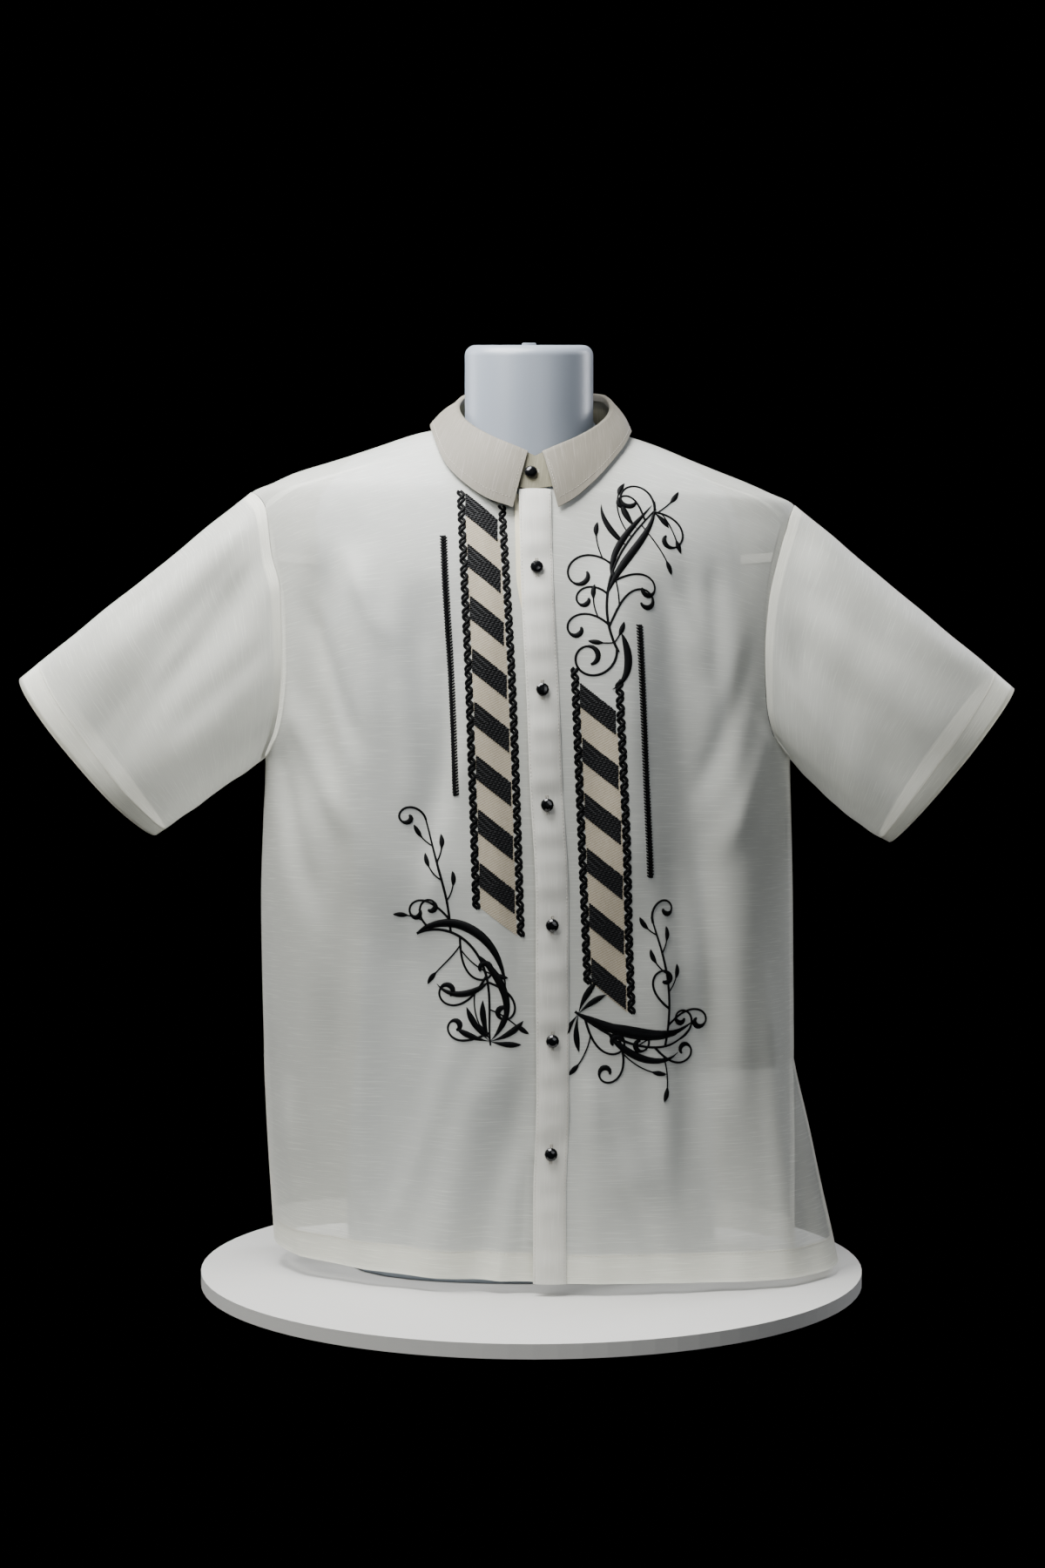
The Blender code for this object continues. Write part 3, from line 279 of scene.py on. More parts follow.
# Soft folds along each sleeve, from row0 to row1 as shares of its length and from turn0 to turn1
# in degrees from the top of the shoulder forwards: row0, turn0, row1, turn1, width and depth
SLEEVE_FOLDS = {
    LEFT: (
        (0.00, 30, 0.75, 55, 16, 0.0060),
        (0.05, 62, 0.90, 92, 16, -0.0060),
        (0.30, 125, 1.00, 120, 18, 0.0050),
        (0.10, 250, 0.90, 285, 20, -0.0055),
        (0.10, 310, 0.90, 325, 18, 0.0050),
        (0.02, 44, 0.55, 78, 6, 0.0016),
        (0.05, 20, 0.60, 30, 7, -0.0016),
        (0.02, 100, 0.60, 110, 7, -0.0018),
        (0.40, 70, 0.98, 100, 7, 0.0014),
        (0.05, 270, 0.70, 262, 7, 0.0016),
    ),
    RIGHT: (
        (0.00, 35, 0.80, 40, 16, 0.0050),
        (0.02, 80, 0.85, 118, 15, -0.0070),
        (0.20, 62, 0.95, 82, 16, 0.0050),
        (0.10, 245, 0.90, 280, 20, -0.0055),
        (0.10, 300, 0.90, 320, 18, 0.0050),
        (0.02, 55, 0.60, 60, 6, -0.0016),
        (0.02, 100, 0.70, 135, 7, 0.0018),
        (0.35, 90, 0.98, 96, 7, -0.0014),
        (0.05, 262, 0.70, 255, 7, 0.0016),
    ),
}

# The stand's top edge, by the turn from the front to the back
STAND_TOP = table(
    "turn height",
    (0, 0.7265),
    (10, 0.7325),
    (30, 0.7440),
    (60, 0.7635),
    (90, 0.7835),
    (105, 0.7925),
    (117, 0.7985),
    (140, 0.8030),
    (180, 0.8055),
)
STAND_TOP_CENTRE = 0.003
STAND_TOP_WIDTH = 0.0710
STAND_TOP_FRONT = 0.0750
STAND_TOP_BACK = 0.0640
STAND_OVERLAP = 0.0115
STAND_STEP = 0.0010
COLLAR_LIFT = 0.0026
SHOULDER_LIFT = 0.0020
COLLAR_EASE = 0.0007
STAND_LIFT = (0.0024, 0.0009)
COLLAR_TUCK = 0.006
COLLAR_BULGE = 0.0020
FALL_THICK = 0.0008
FALL_START = 5

# The fall's lower edge, by the turn from the front to the back, on each side
COLLAR_EDGE = {
    LEFT: table(
        "turn x       height",
        (0, -0.0164, 0.6780),
        (18, -0.0390, 0.6865),
        (40, -0.0588, 0.7004),
        (60, -0.0765, 0.7200),
        (78, -0.0865, 0.7435),
        (92, -0.0915, 0.7600),
        (125, -0.0790, 0.7580),
        (150, -0.0440, 0.7560),
        (180, 0.0000, 0.7550),
    ),
    RIGHT: table(
        "turn x       height",
        (0, 0.0232, 0.6780),
        (18, 0.0370, 0.6865),
        (40, 0.0535, 0.7010),
        (60, 0.0723, 0.7230),
        (78, 0.0850, 0.7420),
        (92, 0.0900, 0.7540),
        (125, 0.0790, 0.7560),
        (150, 0.0440, 0.7555),
        (180, 0.0000, 0.7550),
    ),
}


# ---------------------------------------------------------------- the surface of the shirt


def read(columns, name, at, key="height"):
    """A column's values at these heights, on a smooth curve that never overshoots its rows."""
    keys, values = columns[key], columns[name]
    at = np.clip(np.asarray(at, dtype=float), keys[0], keys[-1])
    slopes = np.diff(values) / np.diff(keys)
    before, after = slopes[:-1], slopes[1:]
    together = before + after
    mean = 2 * before * after / np.where(together == 0, 1, together)
    level = np.where(before * after > 0, mean, 0)
    tangents = np.concatenate([slopes[:1], level, slopes[-1:]])
    row = np.clip(np.searchsorted(keys, at, side="right") - 1, 0, len(keys) - 2)
    span = keys[row + 1] - keys[row]
    part = (at - keys[row]) / span
    start, end = values[row], values[row + 1]
    bend = part * part * (3 - 2 * part)
    lift = part * (1 - part) ** 2 * span * tangents[row]
    drop = part * part * (1 - part) * span * tangents[row + 1]
    return start + (end - start) * bend + lift - drop


def ease(value):
    """0 below 0, 1 above 1, smooth between."""
    value = np.clip(value, 0.0, 1.0)
    return value * value * (3 - 2 * value)


def unit(vectors):
    return vectors / np.linalg.norm(vectors, axis=-1, keepdims=True)


def opening(height):
    """How far the slits stand open: 0 above their top, 1 at the hem."""
    return np.maximum(0.0, (SLIT_TOP - height) / (SLIT_TOP - HEM))


def section(face, to_right, height):
    """Half width, depth and squareness of the shirt's level section."""
    width = np.where(to_right, read(BODY, "right", height), read(BODY, "left", height))
    depth = read(BODY, COLUMN[face], height)
    low = ease((SQUARE_BELOW - height) / 0.30)
    if face == BACK:
        return width, depth, 2.0 + SQUARE[RIGHT] * low
    swing = np.where(to_right, opening(height), 0.0)
    power = 2.0 + np.where(to_right, SQUARE[RIGHT], SQUARE[LEFT]) * low + FLARE_SQUARE * swing
    return width + FLARE_WIDTH * swing, depth + FLARE_DEPTH * swing, power


def level_of(face, x, y, height):
    """1 on the shirt's surface, more outside it."""
    width, depth, power = section(face, x > 0, height)
    return (np.abs(x) / width) ** power + (np.abs(y) / depth) ** power


def outward(face, points):
    """The directions straight out of the shirt's surface."""
    step = 0.0004
    x, y, height = np.moveaxis(points, -1, 0)
    y = face * np.maximum(np.abs(y), 1e-6)
    slope = np.stack([
        level_of(face, x + step, y, height) - level_of(face, x - step, y, height),
        np.where(
            np.abs(y) > step,
            level_of(face, x, y + step, height) - level_of(face, x, y - step, height),
            0.0,
        ),
        level_of(face, x, y, height + step) - level_of(face, x, y, height - step),
    ], axis=-1)
    return unit(slope)


def body_at_turn(face, turn, height):
    """Points of the surface, the turn 0 in the middle and a right angle at the side."""
    turn, height = np.broadcast_arrays(np.asarray(turn, float), np.asarray(height, float))
    width, depth, power = section(face, turn > 0, height)
    x = np.copysign(width * np.abs(np.sin(turn)) ** (2 / power), turn)
    y = face * depth * np.maximum(np.cos(turn), 0.0) ** (2 / power)
    return np.stack([x, y, height], axis=-1)


def turn_of(face, x, height):
    """The turns at which the surface has these x."""
    x, height = np.broadcast_arrays(np.asarray(x, float), np.asarray(height, float))
    width, _, power = section(face, x > 0, height)
    share = np.minimum(np.abs(x) / width, 1.0)
    return np.copysign(np.arcsin(np.minimum(share ** (power / 2), 1.0)), x)


def body_at(face, x, height):
    return body_at_turn(face, turn_of(face, x, height), height)


ROOF_TOP = 0.78
HALVINGS = 36


def roof(face, x, y):
    """The height of the shirt's surface over these places on the shoulders."""
    low, high = np.full(x.shape, YOKE_BACK), np.full(x.shape, ROOF_TOP)
    for _ in range(HALVINGS):
        middle = (low + high) / 2
        inside = level_of(face, x, y, middle) < 1
        low, high = np.where(inside, middle, low), np.where(inside, high, middle)
    return low


def fold_lift(rows, face, points):
    """How far the folds of a table lift the cloth."""
    x, height = points[..., 0], points[..., 2]
    lift = np.zeros(x.shape)
    for x0, z0, x1, z1, width, depth in rows[face]:
        run = np.array((x1 - x0, z1 - z0))
        away = np.stack([x - x0, height - z0], axis=-1)
        along = away @ run / (run @ run)
        across = np.linalg.norm(away - along[..., None] * run, axis=-1)
        lift += depth * fold_ends(along) * np.exp(-((across / width) ** 2))
    return lift


def fold_ends(along):
    """A fold dies away softly a little beyond each of its ends."""
    return ease((along + 0.15) / 0.35) * ease((1.15 - along) / 0.35)


# The cloth's slight waviness: amplitude, waves per metre along X and Z, and phase
RIPPLES = (
    (0.00030, 13.0, 2.0, 0.4),
    (0.00024, 22.0, -4.0, 1.9),
    (0.00015, 37.0, 5.0, 3.1),
    (0.00012, 9.0, 7.0, 5.0),
)


def ripple(x, height):
    lift = 0.0
    for size, across, up, phase in RIPPLES:
        lift = lift + size * np.sin(2 * math.pi * (across * x + up * height) + phase)
    return lift


def placket_middle(height):
    return read(PLACKET, "middle", height)


def placket_edge(height):
    """The placket's edge on the left."""
    return placket_middle(height) - PLACKET_WIDTH / 2


PLACKET_CALM = 0.022            # beside the placket the cloth lies calm over this width
FINE_SHARE = 0.15               # how much of the fine creases is left on the shoulders


def folds(face, points, fade):
    """The large folds with their fade, and the finer creases and ripples over them."""
    x, height = points[..., 0], points[..., 2]
    lift = fold_lift(FOLDS, face, points) * fade * fold_fade(height)
    fine = fold_lift(CREASES, face, points) + ripple(x, height)
    lift = lift + fine * fade * (FINE_SHARE + (1 - FINE_SHARE) * fold_fade(height))
    if face == FRONT:
        beside = np.abs(x - placket_middle(height)) - PLACKET_WIDTH / 2
        lift = lift * ease(beside / PLACKET_CALM)
    return lift


FOLDS_END = 0.60


def fold_fade(height):
    """The folds die away towards the shoulders."""
    return 1 - ease((height - FOLDS_END) / 0.06)


def neck_ease(height):
    return NECK_EASE * ease((height - 0.650) / 0.03)


def neckline(face, side, share):
    """Points of the neckline, from the middle (share 0) to the shoulder (share 1)."""
    share = np.asarray(share, float)
    if face == FRONT:
        along, rise = (read(NECKLINE, name, share, "share") for name in ("along", "rise"))
        height = NECK_FRONT + (NECK_SIDE[side] - NECK_FRONT) * rise
    else:
        along = np.sin(share * math.pi / 2)
        height = NECK_BACK + (NECK_SIDE[side] - NECK_BACK) * along ** 3
    return body_at(face, side * NECK_WIDTH * along, height)


def hem_lift(face, side, share):
    """How far the hem is above its middle: it rises to one slit and dips to the flared corner."""
    if side == LEFT:
        return HEM_RISE * share ** 1.6
    return -(HEM_DIP if face == FRONT else 0.0) * ease(share * 1.6)


def armhole_x(face, side, height):
    return side * read(ARMHOLE[side], COLUMN[face], height)


def outer_turn(face, side, height):
    """The turn of a panel's outer edge: the side seam, the slit below it, the armhole above."""
    height = np.asarray(height, float)
    above = np.abs(turn_of(face, armhole_x(face, side, height), height))
    swing = FLARE_TURN if face == FRONT and side == RIGHT else SLIT_TURN
    turn = np.where(height >= UNDERARM, above, math.pi / 2 - swing * opening(height))
    depth = read(BODY, COLUMN[face], height)
    turn = np.minimum(turn, math.pi / 2 - SEAM / depth)
    return turn - np.where(height > UNDERARM, SEAM / 0.1, 0)


CALM = 0.036                    # the calmer edge is an average this far up and down
CALM_STEPS = 13


def outer_turns(face, side, height):
    """The turn of a panel's outer edge, and a calmer one that rounds off the armpit's corner."""
    calm = 0.0
    for step in np.linspace(-CALM, CALM, CALM_STEPS):
        calm = calm + side * outer_turn(face, side, height + step) / CALM_STEPS
    return side * outer_turn(face, side, height), calm


def sheet_points(face, base, out, fade):
    """Where the cloth lies over these points of the surface, and the directions out of it."""
    normals = outward(face, base)
    lift = out + folds(face, base, fade) - SHEET_IN
    return base + normals * lift[..., None], normals


def front_out(side, base):
    """How far a front lies out of the surface: one of the two sinks to pass under the placket."""
    if side == RIGHT:
        return 0.0
    sunk = 2 * WALL + 2 * GAP + neck_ease(base[..., 2])
    return -sunk * ease((base[..., 0] - placket_edge(base[..., 2]) + SINK_END + SINK) / SINK)


def on_front(x, height):
    """Points on the finished front at these places, and the directions out of it."""
    base = body_at(FRONT, x, height)
    left = base[..., 0] < placket_edge(base[..., 2])
    out = np.where(left, front_out(LEFT, base), 0.0)
    return sheet_points(FRONT, base, out, 1.0)


# ---------------------------------------------------------------- making meshes

WELD = 2e-5                     # patches of a sheet are welded where they are this close
SHARP_EDGE = 40                 # degrees


def link(name, mesh, finish):
    made = bpy.data.objects.new(name, mesh)
    bpy.context.scene.collection.objects.link(made)
    mesh.materials.append(finish)
    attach(made, "root")
    return made


def cloth_lengths(grid):
    """For each point of a grid, how far it is along its row and up its column, in metres."""
    along = np.linalg.norm(np.diff(grid, axis=1), axis=-1)
    up = np.linalg.norm(np.diff(grid, axis=0), axis=-1)
    u = np.concatenate([np.zeros((grid.shape[0], 1)), np.cumsum(along, axis=1)], axis=1)
    v = np.concatenate([np.zeros((1, grid.shape[1])), np.cumsum(up, axis=0)], axis=0)
    u, v = (u - u[:, grid.shape[1] // 2, None]).mean(axis=0), v.mean(axis=1)
    return np.stack(np.broadcast_arrays(u[None, :], v[:, None]), -1)


def lengths_from_seam(grid):
    """The same with every column measured up from its last point, so the threads lie level."""
    up = np.linalg.norm(np.diff(grid[::-1], axis=0), axis=-1)
    up = np.concatenate([np.zeros((1, grid.shape[1])), np.cumsum(up, axis=0)], axis=0)
    return np.stack([grid[..., 0], up[::-1]], -1)


def patch(grid, shift=0.0):
    """A grid with its thread lengths, shifted so that no two patches have the same slubs."""
    return grid, cloth_lengths(grid) + shift


def smooth_mesh(name, points, faces, lengths=None, layers=None, weld=False):
    """A smooth mesh of these faces. The thread lengths of its points become its UV."""
    mesh = bpy.data.meshes.new(name)
    mesh.from_pydata(np.concatenate(points).tolist(), [], faces)
    if lengths is not None:
        corners = np.zeros(len(mesh.loops), dtype=int)
        mesh.loops.foreach_get("vertex_index", corners)
        threads = mesh.uv_layers.new(name="threads")
        threads.data.foreach_set("uv", np.concatenate(lengths)[corners].reshape(-1))
    if layers is not None:
        mesh.polygons.foreach_set("material_index", layers)
    shaped = bmesh.new()
    shaped.from_mesh(mesh)
    if weld:
        bmesh.ops.remove_doubles(shaped, verts=shaped.verts, dist=WELD)
    else:
        bmesh.ops.recalc_face_normals(shaped, faces=shaped.faces)
        if shaped.calc_volume(signed=True) < 0:
            bmesh.ops.reverse_faces(shaped, faces=shaped.faces)
    shaped.to_mesh(mesh)
    shaped.free()
    mesh.shade_smooth()
    return mesh


def cells_of(rows, columns, start=0):
    """The four corners of every cell of a grid whose points are numbered from start."""
    return [
        (corner, corner + 1, corner + columns + 1, corner + columns)
        for first in range(start, start + (rows - 1) * columns, columns)
        for corner in range(first, first + columns - 1)
    ]


def cloth_sheet(name, patches, finish, hems=None):
    """One sheet from grids of points, each with its thread lengths, welded where they meet.

    Where hems is given, it is the finish of every patch after the first, which is turned in.
    """
    points, lengths, faces, layers = [], [], [], []
    start = 0
    for number, (grid, run) in enumerate(patches):
        cells = cells_of(*grid.shape[:2], start)
        faces += cells
        layers += [min(number, 1) if hems else 0] * len(cells)
        points.append(grid.reshape(-1, 3))
        lengths.append(run.reshape(-1, 2))
        start += len(points[-1])
    made = link(name, smooth_mesh(name, points, faces, lengths, layers, weld=True), finish)
    if hems:
        made.data.materials.append(hems)
    return made


def closed_wall(name, outer, inner, finish):
    """A closed wall from its outer and inner grids of points."""
    cells = cells_of(*outer.shape[:2])
    layer = outer.shape[0] * outer.shape[1]
    walked = {(a, b) for cell in cells for a, b in zip(cell, cell[1:] + cell[:1])}
    faces = cells + [tuple(corner + layer for corner in reversed(cell)) for cell in cells]
    faces += [(b, a, a + layer, b + layer) for a, b in sorted(walked) if (b, a) not in walked]
    points = [outer.reshape(-1, 3), inner.reshape(-1, 3)]
    mesh = smooth_mesh(name, points, faces, [cloth_lengths(outer).reshape(-1, 2)] * 2)
    mesh.set_sharp_from_angle(angle=math.radians(SHARP_EDGE))
    return link(name, mesh, finish)


# ---------------------------------------------------------------- fronts, back and yoke

# Rows up a front: where its centre edge and its outer edge start, and the rows to the next line
FRONT_ROWS = (
    # line, centre, outer, rows
    ("hem", HEM, HEM, 44),
    ("slit", SLIT_TOP, SLIT_TOP, 66),
    ("underarm", UNDERARM, UNDERARM, 3),
    ("armhole", UNDERARM + ARMPIT, UNDERARM + ARMPIT, 52),
    ("neck", NECK_FRONT, 0.632, 28),
)
FRONT_COLUMNS = 66
BACK_ROWS = (
    # line, height, rows
    ("hem", HEM, 44),
    ("slit", SLIT_TOP, 66),
    ("underarm", UNDERARM, 3),
    ("armhole", UNDERARM + ARMPIT, 44),
    ("yoke", YOKE_BACK - SEAM, 1),
)
BACK_COLUMNS = 126


CORNER = 10                     # the power that keeps the armpit's corner close to a panel's edge


def above_slit(height):
    """Above the slit's top the folds fade towards the side seam, below it they run to the edge."""
    return ease((height - 0.17) / 0.05)


def row_heights(lines, column):
    """Heights of rows, evenly spaced from each line of a table to the next."""
    return np.concatenate([
        np.linspace(line[column], upper[column], line[-1], endpoint=False)
        for line, upper in zip(lines, lines[1:])
    ])


def front_lines(side):
    """Each row's height at its centre edge, share of the neckline and height at its outer edge."""
    _, centre, outer, count = FRONT_ROWS[-1]
    lower = row_heights(FRONT_ROWS, 1)
    centres = np.concatenate([lower, np.full(count + 1, centre)])
    shares = np.concatenate([0 * lower, np.linspace(0.0, SEAM_SHARE, count + 1)])
    upper = np.linspace(outer, SEAM_END[side], count + 1)
    return centres, shares, np.concatenate([row_heights(FRONT_ROWS, 2), upper])


def front_points(side, lines, across, inward):
    """The cloth of a front on these rows, at these shares from its centre to its outer edge."""
    centres, shares, outers = lines
    edge = placket_edge(centres) + (OVERLAP if side == LEFT else 0.0)
    start = np.stack([edge, 0 * edge, centres], -1)
    start = np.where(shares[:, None] > 0, neckline(FRONT, side, shares), start)
    first = turn_of(FRONT, start[:, 0], start[:, 2])[:, None]
    last, calm = outer_turns(FRONT, side, outers[:, None])
    turns = first + (calm - first) * across + (last - calm) * across ** CORNER
    heights = start[:, 2:] + (outers - start[:, 2])[:, None] * across
    heights = heights + hem_lift(FRONT, side, across)[None, :] * opening(start[:, 2:])
    base = body_at_turn(FRONT, turns, heights)
    fade = 1 - ease((across - 0.80) / 0.20)[None, :] * above_slit(outers)[:, None]
    return sheet_points(FRONT, base, front_out(side, base) - inward, fade)[0]


def back_points(heights, across, inward):
    """The cloth of the back on these rows, at these shares from one side (1) to the other (-1)."""
    rise = np.zeros((len(heights), len(across)))
    part = np.abs(across)
    for side in (LEFT, RIGHT):
        rise = np.where(np.sign(across) == side, hem_lift(BACK, side, part)[None, :], rise)
    levels = heights[:, None] + rise * opening(heights)[:, None]
    turns = np.zeros(levels.shape)
    for side in (LEFT, RIGHT):
        last, calm = outer_turns(BACK, side, levels)
        turned = calm * part + (last - calm) * part ** CORNER
        turns = np.where(np.sign(across) == side, turned, turns)
    base = body_at_turn(BACK, turns, levels)
    fade = 1 - ease((part - 0.84) / 0.16)[None, :] * above_slit(levels)
    return sheet_points(BACK, base, -inward, fade)[0]


SEAM_IN = 0.0010                # a seam's allowance inside the cloth
SLIT_IN = 1.8 * TURN_IN
FOLD_EDGE = 0.0015              # over this width a hem turns in from its fold
FRONT_GIRTH = 0.245             # from the placket to the slit, measured round the body
BACK_GIRTH = 0.275
SLIT_ROWS = np.linspace(HEM, SLIT_TOP - 0.001, 45)
SIDE_ROWS = np.linspace(SLIT_TOP, UNDERARM, 50)
HEM_SHIFT, SLIT_SHIFT, SEAM_SHIFT, TOP_SHIFT = 0.31, 0.53, 0.93, 0.71


def turned_in(distance, depth):
    """How far inside the cloth a hem lies, this far from the fold."""
    return depth * ease(distance / FOLD_EDGE)


def rising(width, step=0.004):
    """Distances from a fold: close together at the fold, then a row every few millimetres."""
    return np.concatenate([[0, 0.0006, FOLD_EDGE], np.arange(step, width, step), [width]])


LOW_HEM, SLIT_HEM = rising(HEM_WIDTH), rising(SLIT_HEM_WIDTH)
LOW_HEM_IN = turned_in(LOW_HEM, TURN_IN)[:, None]


def level_rows(heights):
    """Rows of a front that stay level and start at the placket."""
    return heights, 0 * heights, heights


def front_sheet(name, side, finish, hems):
    across = np.linspace(0, 1, FRONT_COLUMNS + 1)
    slit, slit_in = 1 - SLIT_HEM[::-1] / FRONT_GIRTH, turned_in(SLIT_HEM[::-1], SLIT_IN)[None, :]
    patches = (
        patch(front_points(side, front_lines(side), across, 0.0)),
        patch(front_points(side, level_rows(HEM + LOW_HEM), across, LOW_HEM_IN), HEM_SHIFT),
        patch(front_points(side, level_rows(SLIT_ROWS), slit, slit_in), SLIT_SHIFT),
        patch(front_points(side, level_rows(SIDE_ROWS), across[-4:], SEAM_IN), SEAM_SHIFT),
    )
    made = cloth_sheet(name, patches, finish, hems)
    return made


def back_sheet(finish, hems):
    heights = np.append(row_heights(BACK_ROWS, 1), BACK_ROWS[-1][1])
    across = np.linspace(1, -1, BACK_COLUMNS + 1)
    slit_in = turned_in(SLIT_HEM, SLIT_IN)[None, :]
    patches = [
        patch(back_points(heights, across, 0.0)),
        patch(back_points(HEM + LOW_HEM, across, LOW_HEM_IN), HEM_SHIFT),
    ]
    for side in (LEFT, RIGHT):
        slit, seam = side * (1 - SLIT_HEM / BACK_GIRTH), side * np.linspace(1, 0.955, 4)
        patches.append(patch(back_points(SLIT_ROWS, slit, slit_in), SLIT_SHIFT))
        patches.append(patch(back_points(SIDE_ROWS, seam, SEAM_IN), SEAM_SHIFT))
    top = np.linspace(YOKE_BACK - 0.009, YOKE_BACK - SEAM, 4)
    patches.append(patch(back_points(top, across, SEAM_IN), TOP_SHIFT))
    made = cloth_sheet("back_cloth", patches, finish, hems)
    return made


YOKE_COLUMNS = 44               # across each shoulder
YOKE_NECK_COLUMNS = 36
YOKE_FRONT_ROWS = 16
YOKE_BACK_ROWS = 24


def filled(start, end, first, last):
    """Places between four edges: start and end run along the rows, first and last across them."""
    part = np.linspace(0, 1, len(first))[:, None, None]
    share = np.linspace(0, 1, len(start))[None, :, None]
    rows = start * (1 - part) + end * part
    columns = first[:, None] * (1 - share) + last[:, None] * share
    corners = (start[0] * (1 - share) + start[-1] * share) * (1 - part)
    corners = corners + (end[0] * (1 - share) + end[-1] * share) * part
    return rows + columns - corners


def over_shoulder(face, places):
    """The cloth over these places, each an X and a Y."""
    x, y = places[..., 0], places[..., 1]
    base = np.stack([x, y, roof(face, x, y)], -1)
    return sheet_points(face, base, 0.0, 0.0)[0]


def crest_line(side, share):
    """The line along the top of a shoulder, from the neckline (share 0) to the armhole."""
    end = abs(float(armhole_x(FRONT, side, ARMHOLE_TOP[side]))) - SEAM_STEP
    x = side * (NECK_WIDTH + (end - NECK_WIDTH) * share)
    return np.stack([x, 0 * x], -1)


def armhole_edge(face, side, low, part):
    """The yoke's edge along the armhole, from the top of the shoulder (part 0) down to low."""
    heights = ARMHOLE_TOP[side] + (low - ARMHOLE_TOP[side]) * part ** 2
    edge = body_at(face, armhole_x(face, side, heights) - side * SEAM_STEP, heights)[:, :2]
    crest_x = armhole_x(face, side, ARMHOLE_TOP[side]) - side * SEAM_STEP
    crest = body_at(face, crest_x, ARMHOLE_TOP[side])
    return edge + (crest_line(side, 1.0) - crest[:2]) * (1 - part)[:, None]


def yoke_behind_neck():
    across = np.linspace(-1, 1, YOKE_NECK_COLUMNS + 1)
    share = np.arcsin(np.abs(across)) / (math.pi / 2)
    neck = np.where(
        (across > 0)[:, None], neckline(BACK, RIGHT, share), neckline(BACK, LEFT, share),
    )[:, :2]
    neck[[0, -1], 1] = 0
    low = body_at(BACK, neck[:, 0], YOKE_BACK + SEAM)[:, :2]
    part = np.linspace(0, 1, YOKE_BACK_ROWS + 1)[:, None, None]
    return over_shoulder(BACK, neck + (low - neck) * part)


def yoke_behind_shoulder(side, share):
    low = YOKE_BACK + SEAM
    part = np.linspace(0, 1, YOKE_BACK_ROWS + 1)
    crest, last = crest_line(side, share), armhole_edge(BACK, side, low, part)
    seam_x = crest[0, 0] + (last[-1, 0] - crest[0, 0]) * share
    seam = body_at(BACK, seam_x, low)[:, :2]
    first = crest[0] + (seam[0] - crest[0]) * part[:, None]
    return over_shoulder(BACK, filled(crest, seam, first, last))


def yoke_before_shoulder(side, share):
    crest, seam = crest_line(side, share), shoulder_edge(side, share)[:, :2]
    part = np.linspace(0, 1, YOKE_FRONT_ROWS + 1)
    first = neckline(FRONT, side, 1 - (1 - SEAM_SHARE) * part ** 2)[:, :2]
    last = armhole_edge(FRONT, side, SEAM_END[side], part)
    first = first + (crest[0] - first[0]) * (1 - part)[:, None]
    first = first + (seam[0] - first[-1]) * part[:, None]
    last = last + (seam[-1] - last[-1]) * part[:, None]
    return over_shoulder(FRONT, filled(crest, seam, first, last))


def shoulder_edge(side, share):
    """Points of the forward shoulder seam, from the neckline (share 0) to the armhole."""
    start = neckline(FRONT, side, np.array([SEAM_SHARE]))[0]
    first = turn_of(FRONT, start[0], start[2])
    last = side * outer_turn(FRONT, side, SEAM_END[side])
    heights = start[2] + (SEAM_END[side] - start[2]) * share + SEAM * 1.6
    return body_at_turn(FRONT, first + (last - first) * share, heights)


def yoke_sheet(finish):
    share = np.linspace(0, 1, YOKE_COLUMNS + 1)
    grids = [yoke_behind_neck()]
    for side in (LEFT, RIGHT):
        grids.append(yoke_behind_shoulder(side, share)[:, ::side])
        grids.append(yoke_before_shoulder(side, share)[:, ::-side])
    made = cloth_sheet("yoke_cloth", [(grid, lengths_from_seam(grid)) for grid in grids], finish)
    return made


# ---------------------------------------------------------------- sleeves

SLEEVE_ROWS = 52
ARMPIT_END = UNDERARM + 0.035   # below it the seam's step turns from sideways to upwards
ALLOWANCE_IN = 1.6              # how deep the sleeve's seam allowance lies, in turned-in layers
YOKE_TURNS = 12                 # points of the sleeve's first ring along each edge of the yoke


def armhole_loop(side):
    """Round the armhole from the shoulder, down the front and up the back: faces and heights."""
    top = ARMHOLE_TOP[side]
    before = top + (SEAM_END[side] - top) * (np.arange(YOKE_TURNS) / YOKE_TURNS) ** 2
    edges = front_lines(side)[2]
    edges = edges[edges >= UNDERARM][::-1]
    edges = np.concatenate([edges[:-4:2], edges[-4:]])
    up = np.concatenate([
        np.linspace(UNDERARM, UNDERARM + ARMPIT, 4)[1:],
        np.linspace(UNDERARM + ARMPIT, YOKE_BACK, 30)[1:-1],
        top + (YOKE_BACK - top) * (1 - np.arange(YOKE_TURNS) / YOKE_TURNS) ** 2,
    ])
    faces = np.array([FRONT] * (len(before) + len(edges)) + [BACK] * len(up))
    return faces, np.concatenate([before, edges, up])


def armhole_ring(side):
    """The sleeve's first ring, a seam's width outside the armhole's edge."""
    faces, heights = armhole_loop(side)
    ring = np.zeros((len(heights), 3))
    for face in (FRONT, BACK):
        at = faces == face
        base = body_at(face, armhole_x(face, side, heights[at]), heights[at])
        ring[at] = sheet_points(face, base, 0.0, 0.0)[0]
    down = np.arange(YOKE_TURNS) / YOKE_TURNS
    for at, face, low, part in (
        (slice(None, YOKE_TURNS), FRONT, SEAM_END[side], down),
        (slice(-YOKE_TURNS, None), BACK, YOKE_BACK, 1 - down),
    ):
        ring[at] = over_shoulder(face, armhole_edge(face, side, low, part))
        ring[at, 0] += side * SEAM_STEP
    upward = ease((ARMPIT_END - heights) / 0.030)
    ring[:, 0] += side * (1 - upward) * SEAM_STEP
    ring[:, 2] += upward * SEAM_STEP
    return ring


